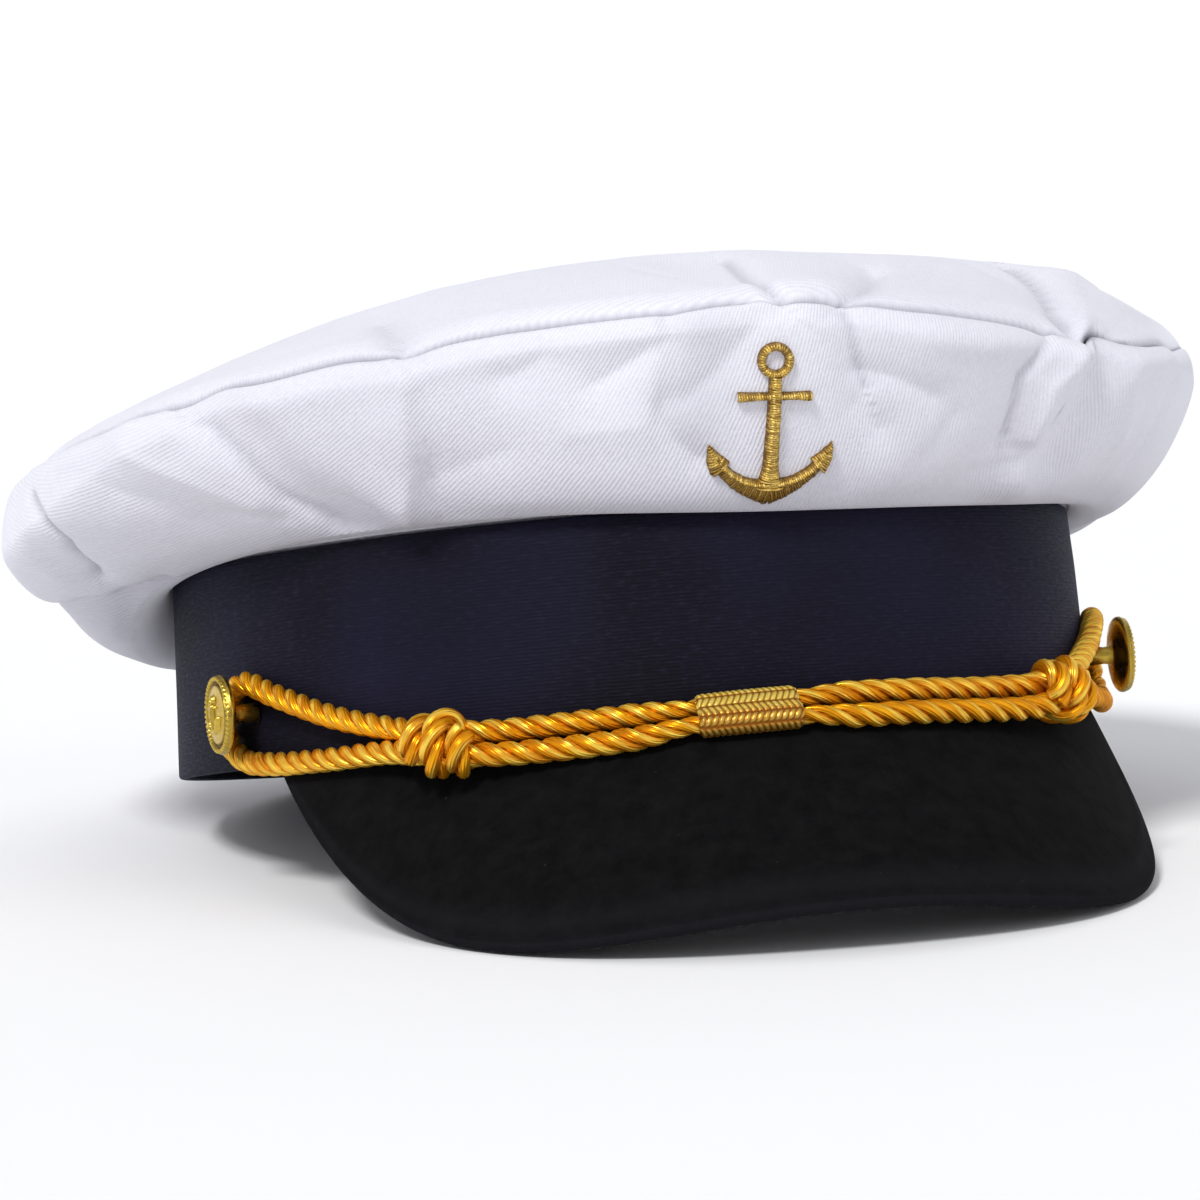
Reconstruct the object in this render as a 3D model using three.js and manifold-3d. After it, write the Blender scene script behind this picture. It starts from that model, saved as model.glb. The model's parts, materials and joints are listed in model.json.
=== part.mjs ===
// A naval officer's cap: a soft white crown on a navy band, with a black peak, a gold cord and an anchor.
// Millimetres and degrees. The cap is drawn level on its band first: z is 0 at the band's lower edge, the
// front points along -Y and the wearer's left along +X. At the end it is tipped back to rest on its peak and
// band. A place on the cap is an angle round the band (0 at the front, 90 at the wearer's left, 180 at the
// back), a distance out from the band's outer face, and a height.

import * as THREE from 'three';
import { mergeVertices } from 'three/addons/utils/BufferGeometryUtils.js';
import Module from 'manifold-3d';

const wasm = await Module();
wasm.setup();

// Shared sizes
const GAP = 0.3;
const AROUND_STEPS = 72;
const MERGE_DISTANCE = 1e-4;

// Band
const BAND_HALF_LENGTH = 103;
const BAND_HALF_WIDTH = 87;
const BAND_HEIGHT = 38.5;
const BAND_WALL = 2.2;
const BAND_TAPER = 1.5;
const BAND_ARCH = 5;
const BAND_FLAT = 0.4;

// Crown
const CLOTH = 1.6;
const HEM_HEIGHT = 7;
const HEM_LIFT = 0.6;
const SEAM_LIP = 0.045;
const DOME_CENTRE_Y = -8;
const DOME_HEIGHT = 90;
const DOME_ROUND_SHARE = 0.35;
const SLANT_INSET = 1.4;
const SLANT_RISE = 0.3;
const WALL_FADE = 0.25;
const TOP_FADE = 0.4;
const WALL_RISES = [0.13, 0.27, 0.41, 0.56, 0.71, 0.86];
const TOP_REACHES = [1, 1 - SEAM_LIP, 0.88, 0.76, 0.58, 0.38, 0.2, 0];

// A row for each section of the crown, every 30 degrees. The roll is where the cloth hangs lowest outside
// the band, wide is where it stands out furthest, slant is 1 for a round wall and 2 for a straight one, and
// dome is how full the top is above that part of the seam.
const CROWN_STEP = 30;
const CROWN_COLUMNS = [
  'angle', 'rollOut', 'rollHeight', 'wideOut', 'wideHeight', 'slant', 'seamOut', 'seamHeight', 'dome',
];
const CROWN_ROWS = [
  [-180, 9, 25, 27, 46, 1.1, 24, 57, 3],
  [-150, 9, 22.5, 28, 46, 1.1, 24.5, 57, 2.4],
  [-120, 9, 24.5, 30.5, 47.5, 1.15, 25, 58, 2],
  [-90, 5, 34.5, 30, 47, 1.3, 24.5, 60.5, 1.8],
  [-60, 1.8, 39, 23, 60, 1.5, 21.5, 64.2, 2],
  [-30, 1.5, 39, 18.5, 65, 1.65, 17.5, 69.3, 2.6],
  [0, 1.5, 36.6, 17.5, 66.5, 1.65, 16.5, 70.8, 3.4],
  [30, 1.5, 36.5, 19.5, 62.5, 1.65, 18, 65.8, 4.8],
  [60, 3, 37.8, 23.6, 62.5, 1.45, 22.5, 67.5, 6],
  [90, 6, 36, 26, 57, 1.2, 24, 67.8, 5.4],
  [120, 8, 33, 27, 53, 1.1, 24.5, 64, 4.3],
  [150, 9, 27, 27, 48, 1.1, 24.5, 60, 3.6],
];

// A row for each fold. Each runs between two places on the crown, where rise is 0 at the roll, 1 at the seam
// and 2 at the middle of the top. Width is how far it spreads to each side, and depth is how far the cloth
// goes in.
const FOLD_COLUMNS = ['fromAngle', 'fromRise', 'toAngle', 'toRise', 'width', 'depth'];
const FOLD_ROWS = [
  [-55, 0.85, -48, 0.15, 7, 2.4],
  [-37, 1, -40, 0.1, 6, -1.8],
  [-47, 1.27, -36, 1.02, 8, 2.2],
  [-92, 0.85, -88, 0.3, 7, 2.2],
  [-118, 0.5, -92, 0.1, 8, 1.6],
  [-5, 1.03, 6, 1.03, 8, -1.6],
  [-4, 1.08, -6, 1.35, 7, 1.6],
  [7, 0.95, 10, 0.5, 7, 1.3],
  [33, 0.95, 32, 0.2, 6, -2.6],
  [39, 0.9, 36, 0.4, 6, 3],
  [43, 1.22, 35, 1.03, 7, 2.2],
  [52, 1.15, 50, 0.95, 8, -1.4],
  [80, 0.7, 84, 0.2, 8, 1.6],
  [112, 0.8, 106, 0.2, 8, 2],
  [150, 0.75, 141, 0.15, 8, 2.2],
  [178, 0.8, 186, 0.15, 8, 2.2],
  [-150, 0.8, -158, 0.2, 8, 2.4],
  [160, 1.3, 152, 1.05, 9, 2],
  [-140, 1.28, -149, 1.05, 9, 2.2],
  [95, 1.3, 84, 1.06, 9, 1.6],
];

// Peak
const PEAK_HALF_ANGLE = 63.8;
const PEAK_REACH = 51;
const PEAK_BOW = 0.205;
const PEAK_CORNER = 3.83;
const PEAK_TIP = 1.28;
const PEAK_DROP = { middle: 44.12, square: 8.12, fourth: -6.74 };
const PEAK_FAN = { middle: 0.21, square: -0.14 };
const PEAK_THICKNESS = 2.4;
const PEAK_END = 0.985;
const PEAK_STEPS = 34;
const PEAK_SPREADS = [0.25, 0.5, 0.75, 1];
const TAB_HEIGHT = 8;

// Chin cord
const CORD_RADIUS = 1.9;
const SQUEEZED_RADIUS = 1.4;
const CORD_SIDES = 8;
const CORD_STEP = 9;
const KNOT_RADIUS = 5.6;
const KNOT_TILT = 38;
const KNOT_SIDES = 5;
const KNOT_STEPS = 10;
const STRAND_SEARCH = 400;
const SLIDE_WALL = 0.6;
const SLIDE_SIDES = 12;
const SLIDE_STEPS = 7;
const SLIDE_BULK = SQUEEZED_RADIUS + GAP + SLIDE_WALL;

// A row for each point of the cord's closed loop: over the front from the wearer's right to the left, round
// the left button, and back below. Bulk is the radius that rests on the band and on the peak there.
const CORD_COLUMNS = ['angle', 'height', 'radius', 'bulk'];
const CORD_ROWS = [
  [-74.4, 9, CORD_RADIUS, CORD_RADIUS],
  [-72.8, 13.4, CORD_RADIUS, CORD_RADIUS],
  [-69.2, 15.7, CORD_RADIUS, CORD_RADIUS],
  [-62.9, 12.9, CORD_RADIUS, CORD_RADIUS],
  [-53.5, 7.8, CORD_RADIUS, CORD_RADIUS],
  [-44.5, 4.5, CORD_RADIUS, 3],
  [-37.3, 2.9, CORD_RADIUS, 5],
  [-32, 2.5, CORD_RADIUS, 3],
  [-26, 2.7, CORD_RADIUS, CORD_RADIUS],
  [-17, 3.3, CORD_RADIUS, CORD_RADIUS],
  [-12, 3.6, SQUEEZED_RADIUS, SLIDE_BULK],
  [-5.5, 4, SQUEEZED_RADIUS, SLIDE_BULK],
  [1, 4.2, SQUEEZED_RADIUS, SLIDE_BULK],
  [6, 4.5, CORD_RADIUS, CORD_RADIUS],
  [14, 4.4, CORD_RADIUS, CORD_RADIUS],
  [23, 4, CORD_RADIUS, CORD_RADIUS],
  [30, 4, CORD_RADIUS, 3],
  [36, 4.4, CORD_RADIUS, 5],
  [43.5, 6.2, CORD_RADIUS, 3],
  [54, 11.4, CORD_RADIUS, CORD_RADIUS],
  [61, 15.6, CORD_RADIUS, CORD_RADIUS],
  [68, 17.2, CORD_RADIUS, CORD_RADIUS],
  [72.8, 14.4, CORD_RADIUS, CORD_RADIUS],
  [74.6, 9.4, CORD_RADIUS, CORD_RADIUS],
  [72.8, 4.4, CORD_RADIUS, CORD_RADIUS],
  [67.5, 1.6, CORD_RADIUS, CORD_RADIUS],
  [58, 1.8, CORD_RADIUS, CORD_RADIUS],
  [44, 1.9, CORD_RADIUS, 3],
  [36, 1.1, CORD_RADIUS, 5],
  [30, 0, CORD_RADIUS, 3],
  [23, 0, CORD_RADIUS, CORD_RADIUS],
  [14, 0.4, CORD_RADIUS, CORD_RADIUS],
  [6, 0.5, CORD_RADIUS, CORD_RADIUS],
  [1, 1.1, SQUEEZED_RADIUS, SLIDE_BULK],
  [-5.5, 1, SQUEEZED_RADIUS, SLIDE_BULK],
  [-12, 0.6, SQUEEZED_RADIUS, SLIDE_BULK],
  [-17, -0.7, CORD_RADIUS, CORD_RADIUS],
  [-26, -1.5, CORD_RADIUS, CORD_RADIUS],
  [-32, -1.5, CORD_RADIUS, 3],
  [-37.3, -0.8, CORD_RADIUS, 5],
  [-44.5, 0.4, CORD_RADIUS, 3],
  [-53.9, 0.2, CORD_RADIUS, CORD_RADIUS],
  [-62.7, 0.4, CORD_RADIUS, CORD_RADIUS],
  [-69.3, 1.4, CORD_RADIUS, CORD_RADIUS],
  [-73.2, 4.6, CORD_RADIUS, CORD_RADIUS],
];
const KNOT_ROWS = [
  { angle: -37.3, height: 1 },
  { angle: 36, height: 3 },
];
const SLIDE_FROM = -11;
const SLIDE_TO = 0;

// Buttons
const BUTTON_ANGLE = 67.5;
const BUTTON_HEIGHT = 10.1;
const BUTTON_RADIUS = 7.25;
const SHANK_RADIUS = 1.8;
const BUTTON_SIDES = 20;

// A row for each turn of the button's outline, from the foot of its shank to the middle of its face
const BUTTON_ROWS = [
  { radius: 0, height: 0 },
  { radius: SHANK_RADIUS, height: 0 },
  { radius: SHANK_RADIUS, height: 4.9 },
  { radius: BUTTON_RADIUS - 0.6, height: 4.9 },
  { radius: BUTTON_RADIUS, height: 5.4 },
  { radius: BUTTON_RADIUS, height: 6.4 },
  { radius: BUTTON_RADIUS - 0.9, height: 6.6 },
  { radius: BUTTON_RADIUS - 1.3, height: 6.3 },
  { radius: BUTTON_RADIUS / 2, height: 7.4 },
  { radius: 0, height: 7.7 },
];

// Anchor, drawn flat and wrapped onto the front of the crown
const ANCHOR_ANGLE = -1.3;
const ANCHOR_BELOW_SEAM = 10.6;
const ANCHOR_RELIEF = 1.2;
const ANCHOR_LIFT = 0.45;
const ANCHOR_LENGTH_STEPS = 60;
const ANCHOR_RING = { radius: 2.4, wire: 0.75, sides: 6, steps: 14 };
const ANCHOR_STOCK = { down: 6.1, halfLength: 6.6, halfWidth: 0.75, steps: 4 };
const ANCHOR_KNOB = { radius: 1.1, inset: 0.7, sides: 8 };
const ANCHOR_SHANK = { top: 2.2, bottom: 23.5, topHalfWidth: 1, bottomHalfWidth: 1.4, steps: 4 };
const ANCHOR_ARM_CURVE_STEPS = 5;

// A row for each corner of one arm's outline, from the middle of the anchor's lower edge round the tip and
// back to the middle above. A corner with a bend is reached by a curve that leans on that place.
const ANCHOR_ARM_ROWS = [
  { out: 0, down: 26 },
  { out: 9.6, down: 20.6, bendOut: 6.2, bendDown: 25.4 },
  { out: 11.6, down: 19.6 },
  { out: 12.4, down: 14.7 },
  { out: 8, down: 18.2 },
  { out: 8.9, down: 18.9 },
  { out: 0, down: 21.6, bendOut: 5, bendDown: 21.6 },
];

// Rest
const TILT_LEAST = 4;
const TILT_MOST = 16;
const TILT_HALVINGS = 40;

const COLOURS = {
  crown: { color: 0xeeeef2, roughness: 0.85, metalness: 0 },
  band: { color: 0x1b1b2c, roughness: 0.8, metalness: 0 },
  peak: { color: 0x17171a, roughness: 0.9, metalness: 0 },
  cord: { color: 0xd8931e, roughness: 0.4, metalness: 0.3 },
  slide: { color: 0xe6c04a, roughness: 0.35, metalness: 0.5 },
  button: { color: 0xb8963a, roughness: 0.3, metalness: 0.9 },
  anchor: { color: 0xa8842e, roughness: 0.5, metalness: 0.5 },
};

const radians = THREE.MathUtils.degToRad;
const clamp = THREE.MathUtils.clamp;

function around(angle, out, height) {
  const turn = radians(angle);
  return new THREE.Vector3(
    (BAND_HALF_WIDTH + out) * Math.sin(turn),
    -(BAND_HALF_LENGTH + out) * Math.cos(turn),
    height,
  );
}

function outwardAt(angle) {
  const turn = radians(angle);
  return new THREE.Vector3(
    BAND_HALF_LENGTH * Math.sin(turn),
    -BAND_HALF_WIDTH * Math.cos(turn),
    0,
  ).normalize();
}

function named(columns, row) {
  return Object.fromEntries(columns.map((name, i) => [name, row[i]]));
}

function everyAngle(steps) {
  return Array.from({ length: steps }, (_, i) => -180 + (360 * i) / steps);
}

// Solids

function closedGeometry(points, triangles) {
  const raw = new THREE.BufferGeometry();
  raw.setAttribute('position', new THREE.Float32BufferAttribute(points.flatMap((p) => p.toArray()), 3));
  raw.setIndex(triangles.flat());
  return withoutSlivers(mergeVertices(raw, MERGE_DISTANCE));
}

function withoutSlivers(geometry) {
  const old = geometry.getIndex().array;
  const kept = [];
  for (let i = 0; i < old.length; i += 3) {
    const [a, b, c] = [old[i], old[i + 1], old[i + 2]];
    if (a !== b && b !== c && c !== a) kept.push(a, b, c);
  }
  if (signedVolume(geometry, kept) < 0) kept.reverse();
  geometry.setIndex(kept);
  return geometry;
}

function signedVolume(geometry, index) {
  const place = geometry.getAttribute('position');
  const corner = [new THREE.Vector3(), new THREE.Vector3(), new THREE.Vector3()];
  let total = 0;
  for (let i = 0; i < index.length; i += 3) {
    corner.forEach((v, k) => v.fromBufferAttribute(place, index[i + k]));
    total += corner[0].dot(corner[1].cross(corner[2])) / 6;
  }
  return total;
}

// A shell between two faces. Each section lists as many points on its outer face as on its inner one. The
// sections close on themselves in a ring, or the shell is capped at its first and last section.
function shell(sections, closed) {
  const count = sections[0].outer.length;
  const points = sections.flatMap((s) => [...s.outer, ...s.inner]);
  const at = (section, side, i) => (section % sections.length) * 2 * count + side * count + i;
  const triangles = [];
  const quad = (a, b, c, d) => triangles.push([a, b, c], [a, c, d]);
  const spans = closed ? sections.length : sections.length - 1;
  for (let s = 0; s < spans; s += 1) {
    for (let i = 0; i < count - 1; i += 1) {
      quad(at(s, 0, i), at(s + 1, 0, i), at(s + 1, 0, i + 1), at(s, 0, i + 1));
      quad(at(s, 1, i), at(s, 1, i + 1), at(s + 1, 1, i + 1), at(s + 1, 1, i));
    }
    quad(at(s, 0, 0), at(s, 1, 0), at(s + 1, 1, 0), at(s + 1, 0, 0));
    quad(at(s, 0, count - 1), at(s + 1, 0, count - 1), at(s + 1, 1, count - 1), at(s, 1, count - 1));
  }
  if (!closed) {
    const last = sections.length - 1;
    for (let i = 0; i < count - 1; i += 1) {
      quad(at(0, 0, i), at(0, 0, i + 1), at(0, 1, i + 1), at(0, 1, i));
      quad(at(last, 0, i), at(last, 1, i), at(last, 1, i + 1), at(last, 0, i + 1));
    }
  }
  return closedGeometry(points, triangles);
}

function solidOf(geometry) {
  const bare = geometry.clone();
  bare.deleteAttribute('normal');
  bare.deleteAttribute('uv');
  const merged = withoutSlivers(mergeVertices(bare, MERGE_DISTANCE));
  return new wasm.Manifold(new wasm.Mesh({
    numProp: 3,
    vertProperties: new Float32Array(merged.getAttribute('position').array),
    triVerts: new Uint32Array(merged.getIndex().array),
  }));
}

function geometryOf(solid) {
  const mesh = solid.getMesh();
  const geometry = new THREE.BufferGeometry();
  const places = [];
  for (let i = 0; i < mesh.vertProperties.length; i += mesh.numProp) {
    places.push(mesh.vertProperties[i], mesh.vertProperties[i + 1], mesh.vertProperties[i + 2]);
  }
  geometry.setAttribute('position', new THREE.Float32BufferAttribute(places, 3));
  geometry.setIndex(Array.from(mesh.triVerts));
  return geometry;
}

function joined(geometries) {
  return geometryOf(geometries.map(solidOf).reduce((whole, next) => whole.add(next)));
}

// Crown surface

function crownRow(angle) {
  const place = (angle + 180) / CROWN_STEP;
  const first = Math.floor(place);
  const t = place - first;
  const [a, b, c, d] = [-1, 0, 1, 2].map(
    (k) => CROWN_ROWS[(((first + k) % CROWN_ROWS.length) + CROWN_ROWS.length) % CROWN_ROWS.length],
  );
  const blend = b.map((value, i) => 0.5 * (2 * value + (c[i] - a[i]) * t
    + (2 * a[i] - 5 * value + 4 * c[i] - d[i]) * t ** 2
    + (3 * value - a[i] - 3 * c[i] + d[i]) * t ** 3));
  return { ...named(CROWN_COLUMNS, blend), angle };
}

// The part of the wall's length that lies below its widest place
function wideShare(row) {
  const below = Math.hypot(row.wideOut - row.rollOut, row.wideHeight - row.rollHeight);
  const above = Math.hypot(row.wideOut - row.seamOut, row.wideHeight - row.seamHeight);
  return below / (below + above);
}

// inset is 0 on the outer face of the cloth and 1 on the inner one
function wallPoint(row, rise, inset) {
  const lean = row.slant - 1;
  const rollOut = row.rollOut - SLANT_INSET * lean * inset;
  const rollHeight = row.rollHeight + (CLOTH - SLANT_RISE * lean) * inset;
  const wideOut = row.wideOut - CLOTH * inset;
  const share = wideShare(row);
  if (rise <= share) {
    const turn = (Math.PI / 2) * (rise / share);
    const out = rollOut + (wideOut - rollOut) * Math.sin(turn) ** row.slant;
    const height = rollHeight + (row.wideHeight - rollHeight) * (1 - Math.cos(turn) ** row.slant);
    return around(row.angle, out, height);
  }
  const turn = (Math.PI / 2) * ((rise - share) / (1 - share));
  const seamOut = row.seamOut - CLOTH * inset;
  const seamHeight = row.seamHeight - CLOTH * inset;
  const out = seamOut + (wideOut - seamOut) * Math.cos(turn);
  const height = row.wideHeight + (seamHeight - row.wideHeight) * Math.sin(turn);
  return around(row.angle, out, height);
}

// lift is the height above the side's lip: the top panel's inner face is one gap above it
function topPoint(row, reach, lift) {
  const edge = around(row.angle, row.seamOut, row.seamHeight + lift);
  const centre = new THREE.Vector3(0, DOME_CENTRE_Y, DOME_HEIGHT - GAP - CLOTH + lift);
  const fall = DOME_ROUND_SHARE * reach ** 2 + (1 - DOME_ROUND_SHARE) * reach ** row.dome;
  return new THREE.Vector3(
    centre.x + (edge.x - centre.x) * reach,
    centre.y + (edge.y - centre.y) * reach,
    centre.z + (edge.z - centre.z) * fall,
  );
}

function crownPlace(angle, rise) {
  const row = crownRow(angle);
  return rise <= 1 ? wallPoint(row, rise, 0) : topPoint(row, 2 - rise, GAP + CLOTH);
}

function crownNormal(angle, rise) {
  const step = 0.02;
  const up = crownPlace(angle, rise + step).sub(crownPlace(angle, Math.max(rise - step, 0)));
  const along = crownPlace(angle + 1, rise).sub(crownPlace(angle - 1, rise));
  return along.cross(up).normalize();
}

const FOLDS = FOLD_ROWS.map((row) => {
  const fold = named(FOLD_COLUMNS, row);
  const from = crownPlace(fold.fromAngle, fold.fromRise);
  const to = crownPlace(fold.toAngle, fold.toRise);
  const middle = { angle: (fold.fromAngle + fold.toAngle) / 2, rise: (fold.fromRise + fold.toRise) / 2 };
  const inward = crownNormal(middle.angle, middle.rise).negate();
  return { ...fold, line: new THREE.Line3(from, to), inward };
});

function folded(point, share) {
  const moved = point.clone();
  const nearest = new THREE.Vector3();
  for (const fold of FOLDS) {
    fold.line.closestPointToPoint(point, true, nearest);
    const spread = nearest.distanceTo(point) / fold.width;
    moved.addScaledVector(fold.inward, fold.depth * share * Math.exp(-(spread ** 2)));
  }
  return moved;
}

// Folds fade out towards the roll and towards the middle of the top
function wallFade(rise) {
  return clamp(rise / WALL_FADE, 0, 1);
}

function topFade(reach) {
  return clamp(reach / TOP_FADE, 0, 1);
}

// Pieces of the crown

function crownSide() {
  const top = BAND_HEIGHT + HEM_LIFT;
  const hemOut = -BAND_TAPER - BAND_WALL - GAP;
  const footOut = -BAND_TAPER + GAP;
  const sections = everyAngle(AROUND_STEPS).map((angle) => {
    const row = crownRow(angle);
    const face = (inset) => {
      const rim = top + CLOTH * inset;
      const foot = { out: footOut + CLOTH * inset, height: rim };
      const roll = wallPoint(row, 0, inset);
      const rollOut = row.rollOut - SLANT_INSET * (row.slant - 1) * inset;
      const halfway = around(
        angle,
        foot.out + (rollOut - foot.out) * (1 - Math.SQRT1_2),
        foot.height - (foot.height - roll.z) * Math.SQRT1_2,
      );
      const wall = WALL_RISES.map((rise) => folded(wallPoint(row, rise, inset), wallFade(rise)));
      const drop = -CLOTH * inset;
      return [
        around(angle, hemOut - CLOTH * inset, BAND_HEIGHT - HEM_HEIGHT),
        around(angle, hemOut - CLOTH * inset, rim),
        around(angle, foot.out, foot.height),
        halfway,
        roll,
        ...wall,
        folded(wallPoint(row, 1, inset), 1),
        folded(topPoint(row, 1 - SEAM_LIP, drop), 1),
      ];
    };
    return { outer: face(0), inner: face(1) };
  });
  return shell(sections, true);
}

function crownTop() {
  const sections = everyAngle(AROUND_STEPS).map((angle) => {
    const row = crownRow(angle);
    const face = (lift) => TOP_REACHES.map((reach) => folded(topPoint(row, reach, lift), topFade(reach)));
    return { outer: face(GAP + CLOTH), inner: face(GAP) };
  });
  return shell(sections, true);
}

// Band and peak

function rootHeight(share) {
  return Math.abs(share) < 1 ? BAND_ARCH * Math.cos((Math.PI / 2) * share) ** 2 : 0;
}

function bandOut(height) {
  return (-BAND_TAPER * Math.max(height, 0)) / BAND_HEIGHT;
}

function bandRing() {
  const sections = everyAngle(AROUND_STEPS).map((angle) => {
    const heights = [rootHeight(angle / PEAK_HALF_ANGLE), BAND_HEIGHT];
    return {
      outer: heights.map((height) => around(angle, bandOut(height), height)),
      inner: heights.map((height) => around(angle, bandOut(height) - BAND_WALL, height)),
    };
  });
  return shell(sections, true);
}

function peakDrop(share) {
  return radians(PEAK_DROP.middle + PEAK_DROP.square * share ** 2 + PEAK_DROP.fourth * share ** 4);
}

// share runs from -1 to 1 along the root, spread from 0 at the root to 1 at the edge
function peakPoint(share, spread) {
  const angle = share * PEAK_HALF_ANGLE;
  const drop = peakDrop(share);
  const fan = radians(angle * (PEAK_FAN.middle + PEAK_FAN.square * share ** 2));
  const along = new THREE.Vector3(
    Math.cos(drop) * Math.sin(fan),
    -Math.cos(drop) * Math.cos(fan),
    -Math.sin(drop),
  );
  const bow = 1 + PEAK_BOW * share ** 2;
  const reach = PEAK_REACH * bow * (1 - Math.abs(share) ** PEAK_CORNER) ** (1 / PEAK_TIP);
  return around(angle, 0, rootHeight(share) - GAP).addScaledVector(along, reach * spread);
}

function peakNormal(share, spread) {
  const step = 0.004;
  const across = peakPoint(share + step, spread).sub(peakPoint(share - step, spread));
  const down = peakPoint(share, 1).sub(peakPoint(share, 0));
  return down.cross(across).normalize();
}

function peakShell() {
  const tabOut = (height) => bandOut(height) - BAND_WALL - GAP;
  const tabIn = (height) => tabOut(height) - PEAK_THICKNESS;
  const sections = Array.from({ length: PEAK_STEPS + 1 }, (_, i) => {
    const share = PEAK_END * Math.sin((Math.PI / 2) * ((2 * i) / PEAK_STEPS - 1));
    const angle = share * PEAK_HALF_ANGLE;
    const low = rootHeight(share) - GAP;
    const tabTop = low + TAB_HEIGHT;
    const outer = [
      around(angle, tabOut(tabTop), tabTop),
      around(angle, tabOut(low), low),
      peakPoint(share, 0),
      ...PEAK_SPREADS.map((spread) => peakPoint(share, spread)),
    ];
    const under = (spread) => peakPoint(share, spread)
      .addScaledVector(peakNormal(share, spread), -PEAK_THICKNESS);
    const inner = [
      around(angle, tabIn(tabTop), tabTop),
      around(angle, tabIn(low), low - PEAK_THICKNESS),
      under(0),
      ...PEAK_SPREADS.map(under),
    ];
    return { outer, inner };
  });
  return shell(sections, false);
}

// Cord: the seat is the distance out at which a round of the given bulk clears the band and the peak
function seatOut(angle, height, bulk) {
  const clear = bulk + GAP;
  const fromBand = clear + bandOut(height - bulk);
  const share = angle / PEAK_HALF_ANGLE;
  if (Math.abs(share) >= 1) return fromBand;
  const drop = peakDrop(share);
  const fromPeak = (clear - (height - rootHeight(share) + GAP) * Math.cos(drop)) / Math.sin(drop);
  return Math.max(fromBand, fromPeak);
}

const CORD = CORD_ROWS.map((row) => named(CORD_COLUMNS, row));
const CORD_CURVE = new THREE.CatmullRomCurve3(
  CORD.map((row) => around(row.angle, seatOut(row.angle, row.height, row.bulk), row.height)),
  true,
);

function cordRing(place, radius, sides) {
  const share = place / CORD.length;
  const centre = CORD_CURVE.getPoint(share);
  const along = CORD_CURVE.getTangent(share);
  const out = outwardAt(angleOf(centre));
  out.addScaledVector(along, -out.dot(along)).normalize();
  const side = new THREE.Vector3().crossVectors(along, out);
  return Array.from({ length: sides }, (_, i) => {
    const turn = (2 * Math.PI * i) / sides;
    return centre.clone()
      .addScaledVector(out, radius * Math.cos(turn))
      .addScaledVector(side, radius * Math.sin(turn));
  });
}

function angleOf(point) {
  const turn = Math.atan2(point.x / BAND_HALF_WIDTH, -point.y / BAND_HALF_LENGTH);
  return THREE.MathUtils.radToDeg(turn);
}

function cordLoop() {
  const rings = [];
  CORD.forEach((row, i) => {
    const next = CORD[(i + 1) % CORD.length];
    const length = CORD_CURVE.points[i].distanceTo(CORD_CURVE.points[(i + 1) % CORD.length]);
    const steps = Math.max(1, Math.round(length / CORD_STEP));
    for (let k = 0; k < steps; k += 1) {
      const radius = row.radius + ((next.radius - row.radius) * k) / steps;
      rings.push(cordRing(i + k / steps, radius, CORD_SIDES));
    }
  });
  const points = rings.flat();
  const triangles = [];
  rings.forEach((_, r) => {
    const next = (r + 1) % rings.length;
    for (let i = 0; i < CORD_SIDES; i += 1) {
      const j = (i + 1) % CORD_SIDES;
      const [a, b] = [r * CORD_SIDES + i, r * CORD_SIDES + j];
      const [c, d] = [next * CORD_SIDES + j, next * CORD_SIDES + i];
      triangles.push([a, b, c], [a, c, d]);
    }
  });
  return closedGeometry(points, triangles);
}

// A knot is three turns of the cord pulled tight across each other
function knotTurns(knot) {
  const centre = around(knot.angle, seatOut(knot.angle, knot.height, KNOT_RADIUS), knot.height);
  const out = outwardAt(knot.angle);
  const up = new THREE.Vector3(0, 0, 1);
  const along = new THREE.Vector3().crossVectors(up, out);
  const basis = new THREE.Matrix4().makeBasis(along, up, out).setPosition(centre);
  const turns = [
    new THREE.Matrix4().makeRotationY(radians(90 - KNOT_TILT)),
    new THREE.Matrix4().makeRotationY(radians(90 + KNOT_TILT)),
    new THREE.Matrix4(),
  ];
  const middle = KNOT_RADIUS - CORD_RADIUS;
  return turns.map((turn) => new THREE.TorusGeometry(middle, CORD_RADIUS, KNOT_SIDES, KNOT_STEPS)
    .applyMatrix4(turn)
    .applyMatrix4(basis));
}

function chinCord() {
  return joined([cordLoop(), ...KNOT_ROWS.flatMap(knotTurns)]);
}

function strandAt(angle, upper) {
  const half = CORD.length / 2;
  let best = null;
  for (let k = 0; k <= STRAND_SEARCH; k += 1) {
    const place = (half * k) / STRAND_SEARCH + (upper ? 0 : half);
    const point = CORD_CURVE.getPoint(place / CORD.length);
    const miss = Math.abs(angleOf(point) - angle);
    if (!best || miss < best.miss) best = { miss, point };
  }
  return best.point;
}

function cordSlide() {
  const stations = Array.from({ length: SLIDE_STEPS + 1 }, (_, i) => {
    const angle = SLIDE_FROM + ((SLIDE_TO - SLIDE_FROM) * i) / SLIDE_STEPS;
    const upper = strandAt(angle, true);
    const lower = strandAt(angle, false);
    const up = upper.clone().sub(lower).normalize();
    const out = outwardAt(angle);
    out.addScaledVector(up, -out.dot(up)).normalize();
    return { upper, lower, up, out };
  });
  const face = (turn, radius) => stations.map(({ upper, lower, up, out }) => {
    const base = Math.sin(turn) >= 0 ? upper : lower;
    return base.clone()
      .addScaledVector(up, radius * Math.sin(turn))
      .addScaledVector(out, radius * Math.cos(turn));
  });
  const sections = Array.from({ length: SLIDE_SIDES }, (_, i) => {
    const turn = (2 * Math.PI * (i + 0.5)) / SLIDE_SIDES;
    return { outer: face(turn, SLIDE_BULK), inner: face(turn, SLIDE_BULK - SLIDE_WALL) };
  });
  return shell(sections, true);
}

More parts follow.
